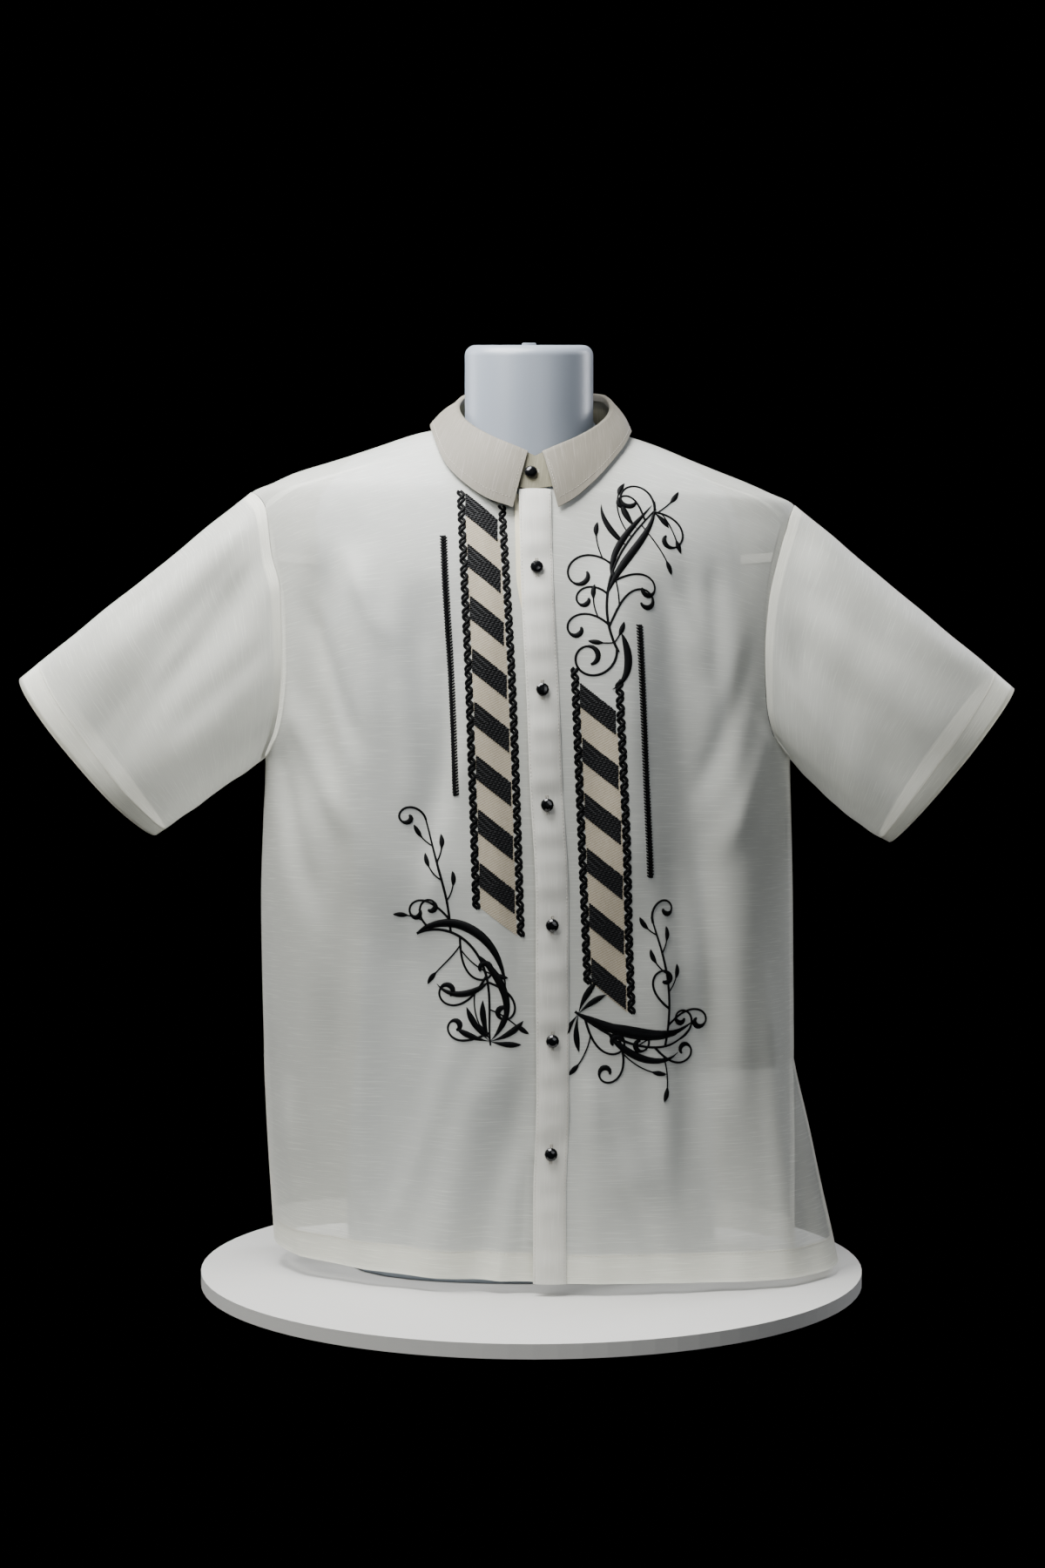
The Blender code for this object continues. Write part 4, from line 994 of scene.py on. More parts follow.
def ring_turns(ring):
    """The turn of each point round the arm: 0 on the shoulder, half a turn at the armpit."""
    steps = np.linalg.norm(ring - np.roll(ring, 1, axis=0), axis=1)
    run = np.cumsum(steps) - steps[0]
    front = run[int(np.argmin(ring[:, 2]))]
    back = run[-1] + steps[0] - front
    return np.where(run <= front, math.pi * run / front, math.pi * (1 + (run - front) / back))


def cuff_ring(side, turns):
    """The sleeve's last ring: an oval round the cuff."""
    cuff = CUFFS[side]
    top, bottom = np.array(cuff.top), np.array(cuff.bottom)
    rise = (top - bottom) / 2
    outwards = unit(np.array((side * rise[2], 0.0, -abs(rise[0]))))
    middle = (top + bottom) / 2 + np.array((0.0, cuff.forward, 0.0))
    ring = middle + rise * np.cos(turns)[:, None]
    ring[:, 1] -= cuff.depth * np.sin(turns)
    return ring + outwards * cuff.bow * np.abs(np.sin(turns))[:, None]


def sleeve_rings(side):
    """Points of each ring from the armhole to the cuff, and the turn of each round the arm."""
    first = armhole_ring(side)
    turns = ring_turns(first)
    along = np.linspace(0, 1, SLEEVE_ROWS + 1)[:, None]
    swell = np.sin(math.pi * along)
    rings = first[None] + (cuff_ring(side, turns) - first)[None] * along[..., None]
    rings[..., 1] -= SLEEVE_FULLNESS * swell * np.sin(turns)
    rings[..., 2] -= CUFFS[side].sag * swell * np.maximum(0.0, -np.cos(turns))
    return rings, turns, along[:, 0]


def sleeve_lift(side, along, turns):
    """How far the folds lift the sleeve, in a grid of shares along it and turns round it."""
    degrees = np.degrees(turns)[None, :]
    along = along[:, None]
    lift = np.zeros((len(along), len(turns)))
    for row0, turn0, row1, turn1, width, depth in SLEEVE_FOLDS[side]:
        part = (along - row0) / (row1 - row0)
        away = (degrees - (turn0 + (turn1 - turn0) * part) + 180) % 360 - 180
        lift += depth * fold_ends(part) * np.exp(-((away / width) ** 2))
    wave = ripple(0.12 * along + 0.3 * side, np.sin(turns)[None, :] * 0.06)
    return (lift + wave) * ease(along / 0.2)


def sleeve_normals(side, rings):
    around = np.roll(rings, -1, axis=1) - np.roll(rings, 1, axis=1)
    down = np.gradient(rings, axis=0)
    return unit(np.cross(around, down)) * side


def sleeve_grid(side):
    rings, turns, along = sleeve_rings(side)
    normals = sleeve_normals(side, rings)
    lift = sleeve_lift(side, along, turns) - SHEET_IN * along[:, None]
    return rings + normals * lift[..., None], normals


def ringed(grid):
    """A grid whose rows run once round and end where they start."""
    return np.concatenate([grid, grid[:, :1]], axis=1)


def cuff_rows(grid, from_edge):
    """The rows of a sleeve's grid this far up from the cuff's edge, and how far past them."""
    run = float(np.linalg.norm(grid[-1] - grid[0], axis=-1).mean())
    at = (1 - from_edge / run) * SLEEVE_ROWS
    lower = np.minimum(at.astype(int), SLEEVE_ROWS - 1)
    return lower, (at - lower)[:, None, None]


def between_rows(grid, lower, part):
    return grid[lower] * (1 - part) + grid[lower + 1] * part


def sleeve_sheet(name, side, finish, hems):
    grid, normals = sleeve_grid(side)
    rows = rising(SLEEVE_HEM_WIDTH)
    lower, part = cuff_rows(grid, rows)
    inwards = unit(between_rows(normals, lower, part)) * turned_in(rows, TURN_IN)[:, None, None]
    hem = between_rows(grid, lower, part) - inwards
    allowance = grid[:3] - normals[:3] * TURN_IN * ALLOWANCE_IN
    shifts = (0.0, HEM_SHIFT, SLIT_SHIFT)
    patches = [patch(ringed(part), shift) for part, shift in zip((grid, hem, allowance), shifts)]
    made = cloth_sheet(name, patches, finish, hems)
    return made


# ---------------------------------------------------------------- placket, band and collar


STRIP_HEIGHTS = np.linspace(HEM, NECK_FRONT, 175)
PUCKER_HEIGHT, PUCKER_DEPTH = 0.020, 0.0017
BAND_THICK = 0.0009
PLACKET_DROP = 0.0012           # how far the placket's two edges lie below its middle


def pucker(height):
    """The placket is drawn in a little at each button and stands out between two."""
    pulled = 0.0
    for at in (*BUTTON_HEIGHTS, NECK_FRONT):
        pulled = pulled + np.exp(-(((height - at) / PUCKER_HEIGHT) ** 2))
    small = np.sin(2 * math.pi * height * 34 + 2.0) * np.sin(2 * math.pi * height * 9.7)
    return PUCKER_DEPTH * (1 - np.minimum(pulled, 1.0)) + 0.00055 * small


def placket_face(height, across):
    """Points on the placket's outer side, across from -1 to 1, and the normals."""
    height, across = np.broadcast_arrays(np.asarray(height, float), np.asarray(across, float))
    x = placket_middle(height) + across * PLACKET_WIDTH / 2
    base = body_at(FRONT, x, height)
    normals = outward(FRONT, base)
    sides = np.abs(across) ** 3
    out = GAP + WALL + neck_ease(height) + pucker(height) * (1 - 0.8 * sides) - PLACKET_DROP * sides
    return base + normals * out[..., None], normals


def placket_strip(finish):
    across = np.array([-1, -0.97, -0.86, -0.6, -0.3, 0, 0.3, 0.6, 0.86, 0.97, 1])
    heights = np.append(STRIP_HEIGHTS, NECK_FRONT + 0.0022)
    outer, normals = placket_face(heights[:, None], across[None, :])
    thick = np.where(np.abs(across) == 1, 0.0007, 0.0010)[None, :, None]
    made = closed_wall("placket_cloth", outer, outer - normals * thick, finish)
    return made


def band_strip(finish):
    heights = STRIP_HEIGHTS
    hidden = placket_edge(heights) + BAND_HIDES
    left = hidden - (BAND_HIDES + BAND_SHOWS) * ease((heights - 0.560) / 0.06)
    right = placket_edge(heights) + OVERLAP - 0.0015
    across = np.linspace(0, 1, 9)
    x = left[:, None] + (right - left)[:, None] * across
    base = body_at(FRONT, x, np.broadcast_to(heights[:, None], x.shape))
    normals = outward(FRONT, base)
    out = -(WALL + GAP + neck_ease(heights) / 2)[:, None, None]
    outer = base + normals * (out - 0.0001)
    made = closed_wall("button_band_cloth", outer, outer - normals * BAND_THICK, finish)
    return made


def stand_round(side, turn):
    """Sideways and backward shares at these turns from the front, and the stand's depth there."""
    angle = np.radians(turn)
    depth = np.where(turn < 90, STAND_TOP_FRONT, STAND_TOP_BACK)
    return side * np.sin(angle), -np.cos(angle), depth


def stand_top(side, turn):
    """The middle of the stand's top edge; the turns in degrees from the front to the back."""
    aside, back, depth = stand_round(side, turn)
    x = STAND_TOP_CENTRE + aside * STAND_TOP_WIDTH
    return np.stack([x, back * depth, read(STAND_TOP, "height", turn, "turn")], -1)


def stand_foot(side, turn):
    """The stand's lower edge, just above the neckline."""
    before = neckline(FRONT, side, np.clip(turn / 90, 0, 1))
    behind = neckline(BACK, side, np.clip((180 - turn) / 90, 0, 1))
    point = np.where((turn < 90)[:, None], before, behind)
    inwards = unit(point * np.array((-1.0, -1.0, 0.0)))
    lift = STAND_LIFT[0] + (STAND_LIFT[1] - STAND_LIFT[0]) * ease((turn - 30) / 60)
    return point + inwards * WALL / 2 + np.stack([0 * lift, 0 * lift, lift], -1)


def stand_out(side, turn):
    """The directions straight out of the stand."""
    aside, back, depth = stand_round(side, turn)
    out = unit(np.stack([aside / STAND_TOP_WIDTH, back / depth, 0 * aside], -1))
    rise = unit(stand_top(side, turn) - stand_foot(side, turn))
    return unit(out - rise * np.sum(rise * out, axis=-1, keepdims=True))


def stand_point(x, height):
    """A point on the outer end of the stand in front, and its normal."""
    foot, top, normal = (line[0] for line in stand_lines(LEFT, np.array([0.0])))
    part = (height - foot[2]) / (top[2] - foot[2])
    seat = foot + (top - foot) * part
    return np.array((x, seat[1], height)) + normal * (STAND_STEP + WALL / 2), normal


def stand_overlap(turn):
    """Where the stand's two ends lap in front they step apart, and come together behind."""
    return (1 - ease((turn - 12) / 18))[:, None]


def stand_lines(side, turn):
    return stand_foot(side, turn), stand_top(side, turn), stand_out(side, turn)


STAND_HALF = 0.00055            # half of the stand's thickness


def collar_stand_band(finish):
    """A band round the neck, one end over the other in front."""
    ends = math.degrees(math.asin(STAND_OVERLAP / STAND_TOP_WIDTH))
    turns = np.concatenate([np.linspace(0, 30, 13), np.linspace(34, 180, 37)])
    ends = np.linspace(ends, 0, 5)[:-1]
    halves = []
    for side in (LEFT, RIGHT):
        over = side * STAND_STEP
        own = turns if side == LEFT else turns[:-1]
        step = over * stand_overlap(own)
        foot, top, out = stand_lines(side, own)
        end_foot, end_top, end_out = stand_lines(-side, ends)
        foot = np.concatenate([end_foot + end_out * over, foot + out * step])
        top = np.concatenate([end_top + end_out * over, top + out * step])
        halves.append([line[::-side] for line in (foot, top, np.concatenate([end_out, out]))])
    foot, top, out = (np.concatenate(lines) for lines in zip(*halves))
    middle = foot + (top - foot) * np.linspace(0, 1, 7)[:, None, None]
    out = out * STAND_HALF
    made = closed_wall("collar_stand_cloth", middle + out, middle - out, finish)
    return made


def fall_sections(side, at_top):
    """The fall's outer and inner points from its tuck inside the stand, over the top and down."""
    turn = (at_top - FALL_START) * 180 / (180 - FALL_START)
    top, out = stand_top(side, at_top), stand_out(side, at_top)
    up = unit(top - stand_foot(side, at_top))
    half = WALL / 2 + COLLAR_EASE + STAND_STEP * stand_overlap(at_top)
    edge = COLLAR_EDGE[side]
    x, height = read(edge, "x", turn, "turn"), read(edge, "height", turn, "turn")
    before = (turn < 96)[:, None]
    lower = np.where(before, body_at(FRONT, x, height), body_at(BACK, x, height))
    lower_out = np.where(before, outward(FRONT, lower), outward(BACK, lower))
    lift = (COLLAR_LIFT + SHOULDER_LIFT * np.exp(-(((turn - 92) / 16) ** 2)))[:, None]
    lines = []
    for wide, extra in ((half + WALL, FALL_THICK), (half, 0.0)):
        shoulder = top + out * wide
        end = lower + lower_out * (lift + extra)
        line = [top - out * wide - up * COLLAR_TUCK]
        for angle in np.radians((180, 150, 120, 90, 60, 30)):
            over = out * wide * math.cos(angle) + up * (extra + COLLAR_EASE) * math.sin(angle)
            line.append(top + over)
        line.append(shoulder)
        for part in np.linspace(0, 1, 15)[1:]:
            bulge = COLLAR_BULGE * math.sin(math.pi * part)
            line.append(shoulder + (end - shoulder) * part + unit(out + lower_out) * bulge)
        lines.append(np.stack(line))
    return lines


def fall_grid():
    turns = np.concatenate([np.linspace(FALL_START, 30, 13), np.linspace(34, 180, 42)])
    left = fall_sections(LEFT, turns)
    right = fall_sections(RIGHT, turns[:-1][::-1])
    return [np.concatenate([a, b], axis=1) for a, b in zip(left, right)]


def collar_fall_leaf(finish):
    outer, inner = fall_grid()
    made = closed_wall("collar_fall_cloth", outer, inner, finish)
    return made


# ---------------------------------------------------------------- embroidery in flat paths

# The two woven bands: the middle of each chain border from its top to its bottom, the top of the
# woven ground beside each, and the stripes' first top, their pitch, their number and their fall
Band = namedtuple("Band", "chains fill_tops stripe_top pitch stripes drop")
BANDS = (
    Band(
        (
            ((-0.0624, 0.6951), (-0.0542, 0.5194), (-0.0475, 0.3296)),
            ((-0.0264, 0.6826), (-0.0170, 0.5194), (-0.0095, 0.3057)),
        ),
        (0.6750, 0.6510), 0.6936, 0.04620, 8, 0.0240,
    ),
    Band(
        (
            ((0.0369, 0.5372), (0.0424, 0.4000), (0.0480, 0.2654)),
            ((0.0743, 0.5260), (0.0802, 0.3900), (0.0860, 0.2393)),
        ),
        (0.5040, 0.4800), 0.5245, 0.04720, 6, 0.0247,
    ),
)
STRIPE_HEIGHT = 0.0212
CHAIN_WIDTH = 0.0076
CHAIN_PITCH = 0.0062
BRAIDS = (
    ((-0.0772, 0.6543), (-0.0720, 0.5450), (-0.0669, 0.4385), (-0.0662, 0.4258)),
    ((0.0926, 0.5744), (0.0950, 0.5100), (0.0979, 0.4385), (0.1017, 0.3557)),
)
BRAID_WIDTH = 0.0070

# Vine scrolls. A stroke starts at a place, or on an earlier stroke of its group at a share of its
# length. Its turn is its heading in degrees there, or its turn away from that stroke. Its bend, in
# degrees per centimetre, grows from one end to the other, so that a strong last bend winds up a
# curl. A curl ends in a swollen comma, a sprig ends in a leaf. Only a stroke that carries others
# has a name.
Stroke = namedtuple(
    "Stroke", "stem share turn length bend0 bend1 width shape name", defaults=("",),
)
SCROLLS = (
    # beside the neck: one swaying stem with curls and sprigs to both sides
    (
        ((0.0740, 0.5500), 0, 118, 0.144, -7, -1, 0.0026, "vine", "stem"),
        ("stem", 0.36, -14, 0.098, -5, 18, 0.0072, "crescent"),
        ("stem", 0.48, 16, 0.078, -10, 6, 0.0060, "crescent"),
        ("stem", 0.70, 82, 0.044, -6, -24, 0.0056, "crescent"),
        ((0.0765, 0.5660), 0, -66, 0.054, -8, -36, 0.0070, "crescent"),
        ("stem", 0.82, 84, 0.028, -10, -16, 0.0062, "petal"),
        ("stem", 0.97, -82, 0.020, -12, -10, 0.0050, "petal"),
        ("stem", 0.02, 160, 0.098, -26, -86, 0.0025, "curl"),
        ("stem", 0.18, 34, 0.066, 14, 130, 0.0023, "curl", "curl 1"),
        ("stem", 0.16, -36, 0.080, 0, -122, 0.0023, "curl", "curl 2"),
        ("stem", 0.54, 60, 0.084, 18, 92, 0.0023, "curl", "curl 3"),
        ("stem", 0.42, -46, 0.070, -4, -130, 0.0023, "curl"),
        ("stem", 0.36, 50, 0.052, 24, 150, 0.0022, "curl"),
        ("stem", 0.98, -52, 0.068, -14, -110, 0.0023, "curl", "curl 6"),
        ("stem", 0.99, 40, 0.070, 24, 100, 0.0024, "curl"),
        ("stem", 0.90, 62, 0.048, 0, 180, 0.0022, "curl"),
        ("stem", 0.06, 76, 0.022, -16, 8, 0.0048, "sprig"),
        ("stem", 0.06, -62, 0.020, 16, 8, 0.0048, "sprig"),
        ("curl 3", 0.16, -40, 0.034, -6, -24, 0.0050, "sprig"),
        ("curl 2", 0.24, 30, 0.034, 4, 18, 0.0048, "sprig"),
        ("stem", 0.76, 76, 0.054, -10, -26, 0.0050, "sprig"),
        ("curl 1", 0.16, -36, 0.030, -14, -10, 0.0050, "sprig"),
        ("curl 6", 0.10, -34, 0.040, -10, 8, 0.0048, "sprig"),
        ("stem", 0.86, -100, 0.052, -2, -10, 0.0048, "sprig"),
        ("curl 6", 0.06, 44, 0.028, 6, 24, 0.0048, "sprig"),
    ),
    # below the right front's band: a garland that swings in to the placket
    (
        ((-0.1000, 0.3080), 0, 26, 0.141, -15, 7, 0.0026, "vine", "garland"),
        ("garland", 0.22, 112, 0.103, 3, -3, 0.0024, "vine", "upright"),
        ("upright", 0.96, 0, 0.049, 36, 170, 0.0023, "curl"),
        ("garland", 0.10, 146, 0.052, -23, -170, 0.0023, "curl", "start"),
        ("upright", 0.10, 34, 0.065, 5, 161, 0.0023, "curl"),
        ("garland", 0.28, -58, 0.078, 4, 143, 0.0023, "curl", "curl 2"),
        ("garland", 0.58, -42, 0.083, -5, -134, 0.0023, "curl", "curl 3"),
        ("garland", 0.62, 62, 0.069, -9, -154, 0.0023, "curl"),
        ("garland", 0.92, -66, 0.065, -4, -166, 0.0023, "curl"),
        ("garland", 0.00, 14, 0.112, -14, -5, 0.0083, "crescent"),
        ("garland", 0.44, 16, 0.082, -6, -26, 0.0070, "crescent"),
        ("garland", 0.62, -56, 0.050, -14, -30, 0.0058, "crescent"),
        ("garland", 0.97, 96, 0.034, 12, 9, 0.0057, "petal"),
        ("garland", 0.97, 66, 0.027, 9, 7, 0.0053, "petal"),
        ("garland", 0.97, 128, 0.034, 12, 9, 0.0055, "petal"),
        ("garland", 0.97, -100, 0.031, -11, -7, 0.0055, "petal"),
        ("garland", 0.97, -132, 0.036, -11, -7, 0.0057, "petal"),
        ("garland", 0.97, -160, 0.036, -9, -7, 0.0055, "petal"),
        ("upright", 0.26, -46, 0.027, 18, 18, 0.0048, "sprig"),
        ("upright", 0.44, 44, 0.029, -18, -18, 0.0048, "sprig"),
        ("upright", 0.60, -46, 0.025, 18, 18, 0.0048, "sprig"),
        ("upright", 0.74, 46, 0.025, -18, -18, 0.0048, "sprig"),
        ("start", 0.20, 34, 0.027, 9, 14, 0.0048, "sprig"),
        ("curl 2", 0.14, 30, 0.049, 9, 12, 0.0048, "sprig"),
        ("curl 2", 0.10, -38, 0.045, -7, 18, 0.0048, "sprig"),
        ("curl 3", 0.22, 34, 0.040, 11, 14, 0.0048, "sprig"),
        ("garland", 0.78, 72, 0.040, -12, 18, 0.0048, "sprig"),
    ),
    # below the left front's band: the garland that answers it, its crescents the other way
    (
        ((0.0370, 0.2420), 0, -38, 0.114, 2, 20, 0.0026, "vine", "garland"),
        ("garland", 0.76, 68, 0.114, 4, 0, 0.0024, "vine", "upright"),
        ("garland", 0.90, -10, 0.057, 31, 164, 0.0023, "curl"),
        ("upright", 0.96, 0, 0.051, -31, -169, 0.0023, "curl"),
        ("upright", 0.16, -42, 0.064, -5, -164, 0.0023, "curl"),
        ("upright", 0.28, 52, 0.062, -9, -160, 0.0023, "curl"),
        ("garland", 0.10, -40, 0.077, 5, 142, 0.0023, "curl", "curl 3"),
        ("garland", 0.40, -46, 0.073, -7, -151, 0.0023, "curl", "curl 4"),
        ("garland", 0.34, 58, 0.066, -13, -155, 0.0023, "curl"),
        ("garland", 0.68, -50, 0.066, 9, 155, 0.0023, "curl", "curl 6"),
        ("garland", 0.02, 10, 0.112, 2, 15, 0.0090, "crescent"),
        ("garland", 0.16, 26, 0.092, -2, 20, 0.0075, "crescent"),
        ("garland", 0.30, -22, 0.073, 7, 24, 0.0068, "crescent"),
        ("garland", 0.03, 84, 0.029, -9, -7, 0.0053, "petal"),
        ("garland", 0.03, 112, 0.033, -9, -7, 0.0055, "petal"),
        ("garland", 0.03, -66, 0.033, 9, 7, 0.0053, "petal"),
        ("garland", 0.03, -94, 0.029, 9, 7, 0.0051, "petal"),
        ("upright", 0.42, -46, 0.026, 18, 18, 0.0048, "sprig"),
        ("upright", 0.56, 46, 0.026, -18, -18, 0.0048, "sprig"),
        ("upright", 0.72, -46, 0.024, 18, 18, 0.0048, "sprig"),
        ("upright", 0.86, 46, 0.022, -18, -18, 0.0048, "sprig"),
        ("curl 3", 0.20, -34, 0.040, -9, -13, 0.0048, "sprig"),
        ("curl 4", 0.18, 34, 0.044, 9, 13, 0.0048, "sprig"),
        ("curl 6", 0.16, -34, 0.040, -7, -15, 0.0048, "sprig"),
        ("garland", 0.56, 50, 0.037, -13, -9, 0.0048, "sprig"),
    ),
)


# ---------------------------------------------------------------- threads laid on the cloth


class Thread:
    """Raised threads gathered into one piece, each a closed ridge on the cloth."""

    def __init__(self):
        self.points, self.faces, self.count = [], [], 0

    def ridge(self, left, crown_left, crown_right, right):
        """A closed ridge from its two feet and the two edges of its crown, point by point."""
        ring = np.stack([left, crown_left, crown_right, right], axis=1)
        steps = len(ring)
        last = self.count + (steps - 1) * 4
        for here in range(self.count, last, 4):
            for a, b in ((0, 1), (1, 2), (2, 3), (3, 0)):
                self.faces.append((here + a, here + 4 + a, here + 4 + b, here + b))
        self.faces.append((self.count, self.count + 1, self.count + 2, self.count + 3))
        self.faces.append((last + 3, last + 2, last + 1, last))
        self.points.append(ring.reshape(-1, 3))
        self.count += steps * 4

    def piece(self, name, finish):
        return link(name, smooth_mesh(name, self.points, self.faces), finish)


CROWN = 0.55                    # the width of a thread's crown, as a share of its foot


def laid(thread, centre, aside, normals, widths, rise, sink=0.0001):
    """Adds a ridge along a line of points on the cloth, this wide and standing this high."""
    half = aside * (np.asarray(widths, float)[:, None] / 2)
    rise = np.broadcast_to(np.asarray(rise, float), (len(centre),))[:, None]
    foot, crown = centre - normals * sink, centre + normals * rise
    thread.ridge(foot - half, crown - half * CROWN, crown + half * CROWN, foot + half)


def stitch_path(thread, flat, widths, rise):
    """Adds a ridge along a flat (x, height) path on the finished front."""
    flat = np.asarray(flat, float)
    points, normals = on_front(flat[:, 0], flat[:, 1])
    forward = unit(np.gradient(points, axis=0))
    laid(thread, points, unit(np.cross(forward, normals)), normals, widths, rise)


STROKE_STEP = 0.0018            # between points along a stroke
COMMA_START = 0.74              # where a curl swells into its comma, as a share of its length
COMMA_WIDTH = 0.0032
SPRIG_STEM = 0.0014
SPRIG_LEAF = 0.0120             # how long the leaf at a sprig's end is
SPRIG_TIP = 0.0004


def stroke_line(stroke, drawn):
    """The shares along a stroke, its flat path and its heading at each point."""
    steps = max(8, int(stroke.length / STROKE_STEP))
    part = np.linspace(0, 1, steps + 1)
    bend = stroke.bend0 + (stroke.bend1 - stroke.bend0) * part ** 2
    step = stroke.length / steps
    origin, heading = stroke.stem, stroke.turn
    if stroke.stem in drawn:
        flat, headings = drawn[stroke.stem]
        at = int(round(stroke.share * (len(flat) - 1)))
        origin, heading = flat[at], headings[at] + stroke.turn
    turned = np.cumsum((bend[1:] + bend[:-1]) / 2 * step * 100)
    headings = heading + np.concatenate([[0], turned])
    middle = np.radians((headings[1:] + headings[:-1]) / 2)
    run = np.cumsum(np.stack([np.cos(middle), np.sin(middle)], -1) * step, axis=0)
    return part, np.array(origin) + np.concatenate([[[0, 0]], run]), headings


def stroke_widths(stroke, part):
    """How wide a stroke is at these shares of its length."""
    if stroke.shape == "vine":
        return stroke.width * (1 - 0.4 * part ** 3)
    if stroke.shape == "curl":
        comma = np.clip((part - COMMA_START) / (1 - COMMA_START), 0, 1)
        return stroke.width * (1 - 0.15 * part) + COMMA_WIDTH * np.sin(math.pi * comma ** 1.2)
    if stroke.shape == "sprig":
        leaf = np.clip(1 - (1 - part) * stroke.length / SPRIG_LEAF, 0, 1)
        widths = SPRIG_STEM + (stroke.width - SPRIG_STEM) * np.sin(math.pi * leaf ** 0.8)
        widths[-1] = SPRIG_TIP
        return widths
    swell = part ** (1.5 if stroke.shape == "petal" else 0.8)
    return stroke.width * np.sin(math.pi * swell) ** 0.9 + 0.0002


def scroll_embroidery(finish):
    thread = Thread()
    for rows in SCROLLS:
        drawn = {}
        for stroke in (Stroke(*row) for row in rows):
            part, flat, headings = stroke_line(stroke, drawn)
            drawn[stroke.name] = flat, headings
            widths = stroke_widths(stroke, part)
            stitch_path(thread, flat, widths, 0.0005 + widths * 0.08)
    return thread.piece("scroll_embroidery", finish)


def spans_of(nodes):
    """A soft line through (x, height) nodes that run downwards, as a table by height."""
    return table("height x", *[(height, x) for x, height in nodes[::-1]])


def along_path(nodes, step):
    """Points every step down a soft line through nodes."""
    heights = np.arange(nodes[0][1], nodes[-1][1], -step)
    return np.stack([read(spans_of(nodes), "x", heights), heights], -1)


STRAND_WIDTH = 0.0032
STRAND_SWING = CHAIN_WIDTH / 2 - 0.0014


def chain_borders(finish):
    """Two thick strands that cross at every link and leave a slanting eye between."""
    thread = Thread()
    for nodes in (nodes for band in BANDS for nodes in band.chains):
        middle = along_path(nodes, 0.00075)
        phase = 2 * math.pi * (middle[:, 1] - middle[-1, 1]) / (2 * CHAIN_PITCH)
        crossing = np.sign(np.cos(phase)) * np.abs(np.cos(phase)) ** 0.5
        for way in (1, -1):
            swing = way * np.sin(phase + way * 0.5) * STRAND_SWING
            flat = middle + np.stack([swing, 0 * swing], -1)
            widths = np.full(len(flat), STRAND_WIDTH)
            stitch_path(thread, flat, widths, 0.0006 + 0.00035 * way * crossing)
    return thread.piece("chain_borders", finish)


def band_edges(band, heights):
    """The inner edges of a band's two chains at these heights."""
    return [
        read(spans_of(nodes), "x", heights) + inwards * (CHAIN_WIDTH / 2 - 0.0004)
        for nodes, inwards in zip(band.chains, (1, -1))
    ]


STITCH_ROW = 0.00190            # between rows of a stripe's stitches
STITCH_LENGTH = 0.0046
STITCH_SHOWS = 0.93             # the rest of a stitch's length is the gap to the next
STITCH_SLOPE = 0.30             # the rows climb to the right
SHORTEST_STITCH = 0.0012
STITCH_WIDTHS = (0.0010, 0.0016, 0.0016, 0.0010)
STITCH_RISES = (0.0004, 0.00085, 0.00085, 0.0004)


FILL_LIFT, GROUND_LIFT = 0.0002, 0.00032     # the band's ground, and the stripes' ground over it


def stripes_of():
    """Each stripe: its band, its left and right edge, and its top at its left end."""
    for band in BANDS:
        for number in range(band.stripes):
            top = band.stripe_top - band.pitch * number
            left, right = (float(edge) for edge in band_edges(band, np.array(top - band.drop / 2)))
            yield band, left, right, top


def stripe_ground(finish):
    """Under each stripe darker ground threads show between its stitches."""
    grids = []
    across, down = np.linspace(0.005, 0.995, 9), np.linspace(0.02, 0.98, 5)[:, None]
    for band, left, right, top in stripes_of():
        x = left + (right - left) * across + 0 * down
        points, normals = on_front(x, top - band.drop * across - STRIPE_HEIGHT * down)
        grids.append((points + normals * GROUND_LIFT, cloth_lengths(points)))
    return cloth_sheet("stripe_ground", grids, finish)


def band_stripes(finish):
    """Slanting stripes of short stitches in climbing rows."""
    thread = Thread()
    for band, left, right, top in stripes_of():
        width = right - left
        slope = -band.drop / width
        lowest = top - band.drop - STRIPE_HEIGHT - STITCH_SLOPE * width
        rows = int((STRIPE_HEIGHT + band.drop + STITCH_SLOPE * width) / STITCH_ROW) + 1
        for row in range(rows):
            start = lowest + row * STITCH_ROW
            low = (start - top + STRIPE_HEIGHT) / (slope - STITCH_SLOPE)
            high = (start - top) / (slope - STITCH_SLOPE)
            first, last = max(0.0, min(low, high)), min(width, max(low, high))
            for at in np.arange(first - (row % 3) * STITCH_LENGTH / 3, last, STITCH_LENGTH):
                begin, end = max(at, first), min(at + STITCH_LENGTH * STITCH_SHOWS, last)
                if end - begin < SHORTEST_STITCH:
                    continue
                x = np.linspace(begin, end, 4)
                flat = np.stack([left + x, start + STITCH_SLOPE * x], -1)
                stitch_path(thread, flat, STITCH_WIDTHS, STITCH_RISES)
    return thread.piece("band_stripes", finish)


def band_fill(finish):
    """The cream ground of each band, closely woven in counted stitches."""
    grids = []
    across, down = np.linspace(0, 1, 15), np.linspace(0, 1, 150)[:, None]
    for band in BANDS:
        ends = np.array([nodes[-1][1] for nodes in band.chains])
        high = band.fill_tops[0] + (band.fill_tops[1] - band.fill_tops[0]) * across
        low = ends[0] + (ends[1] - ends[0]) * across + 0.001
        heights = high + (low - high) * down
        left, right = band_edges(band, heights)
        points, normals = on_front(left + (right - left) * across, heights)
        grids.append((points + normals * FILL_LIFT, cloth_lengths(points)))
    return cloth_sheet("band_ground", grids, finish)


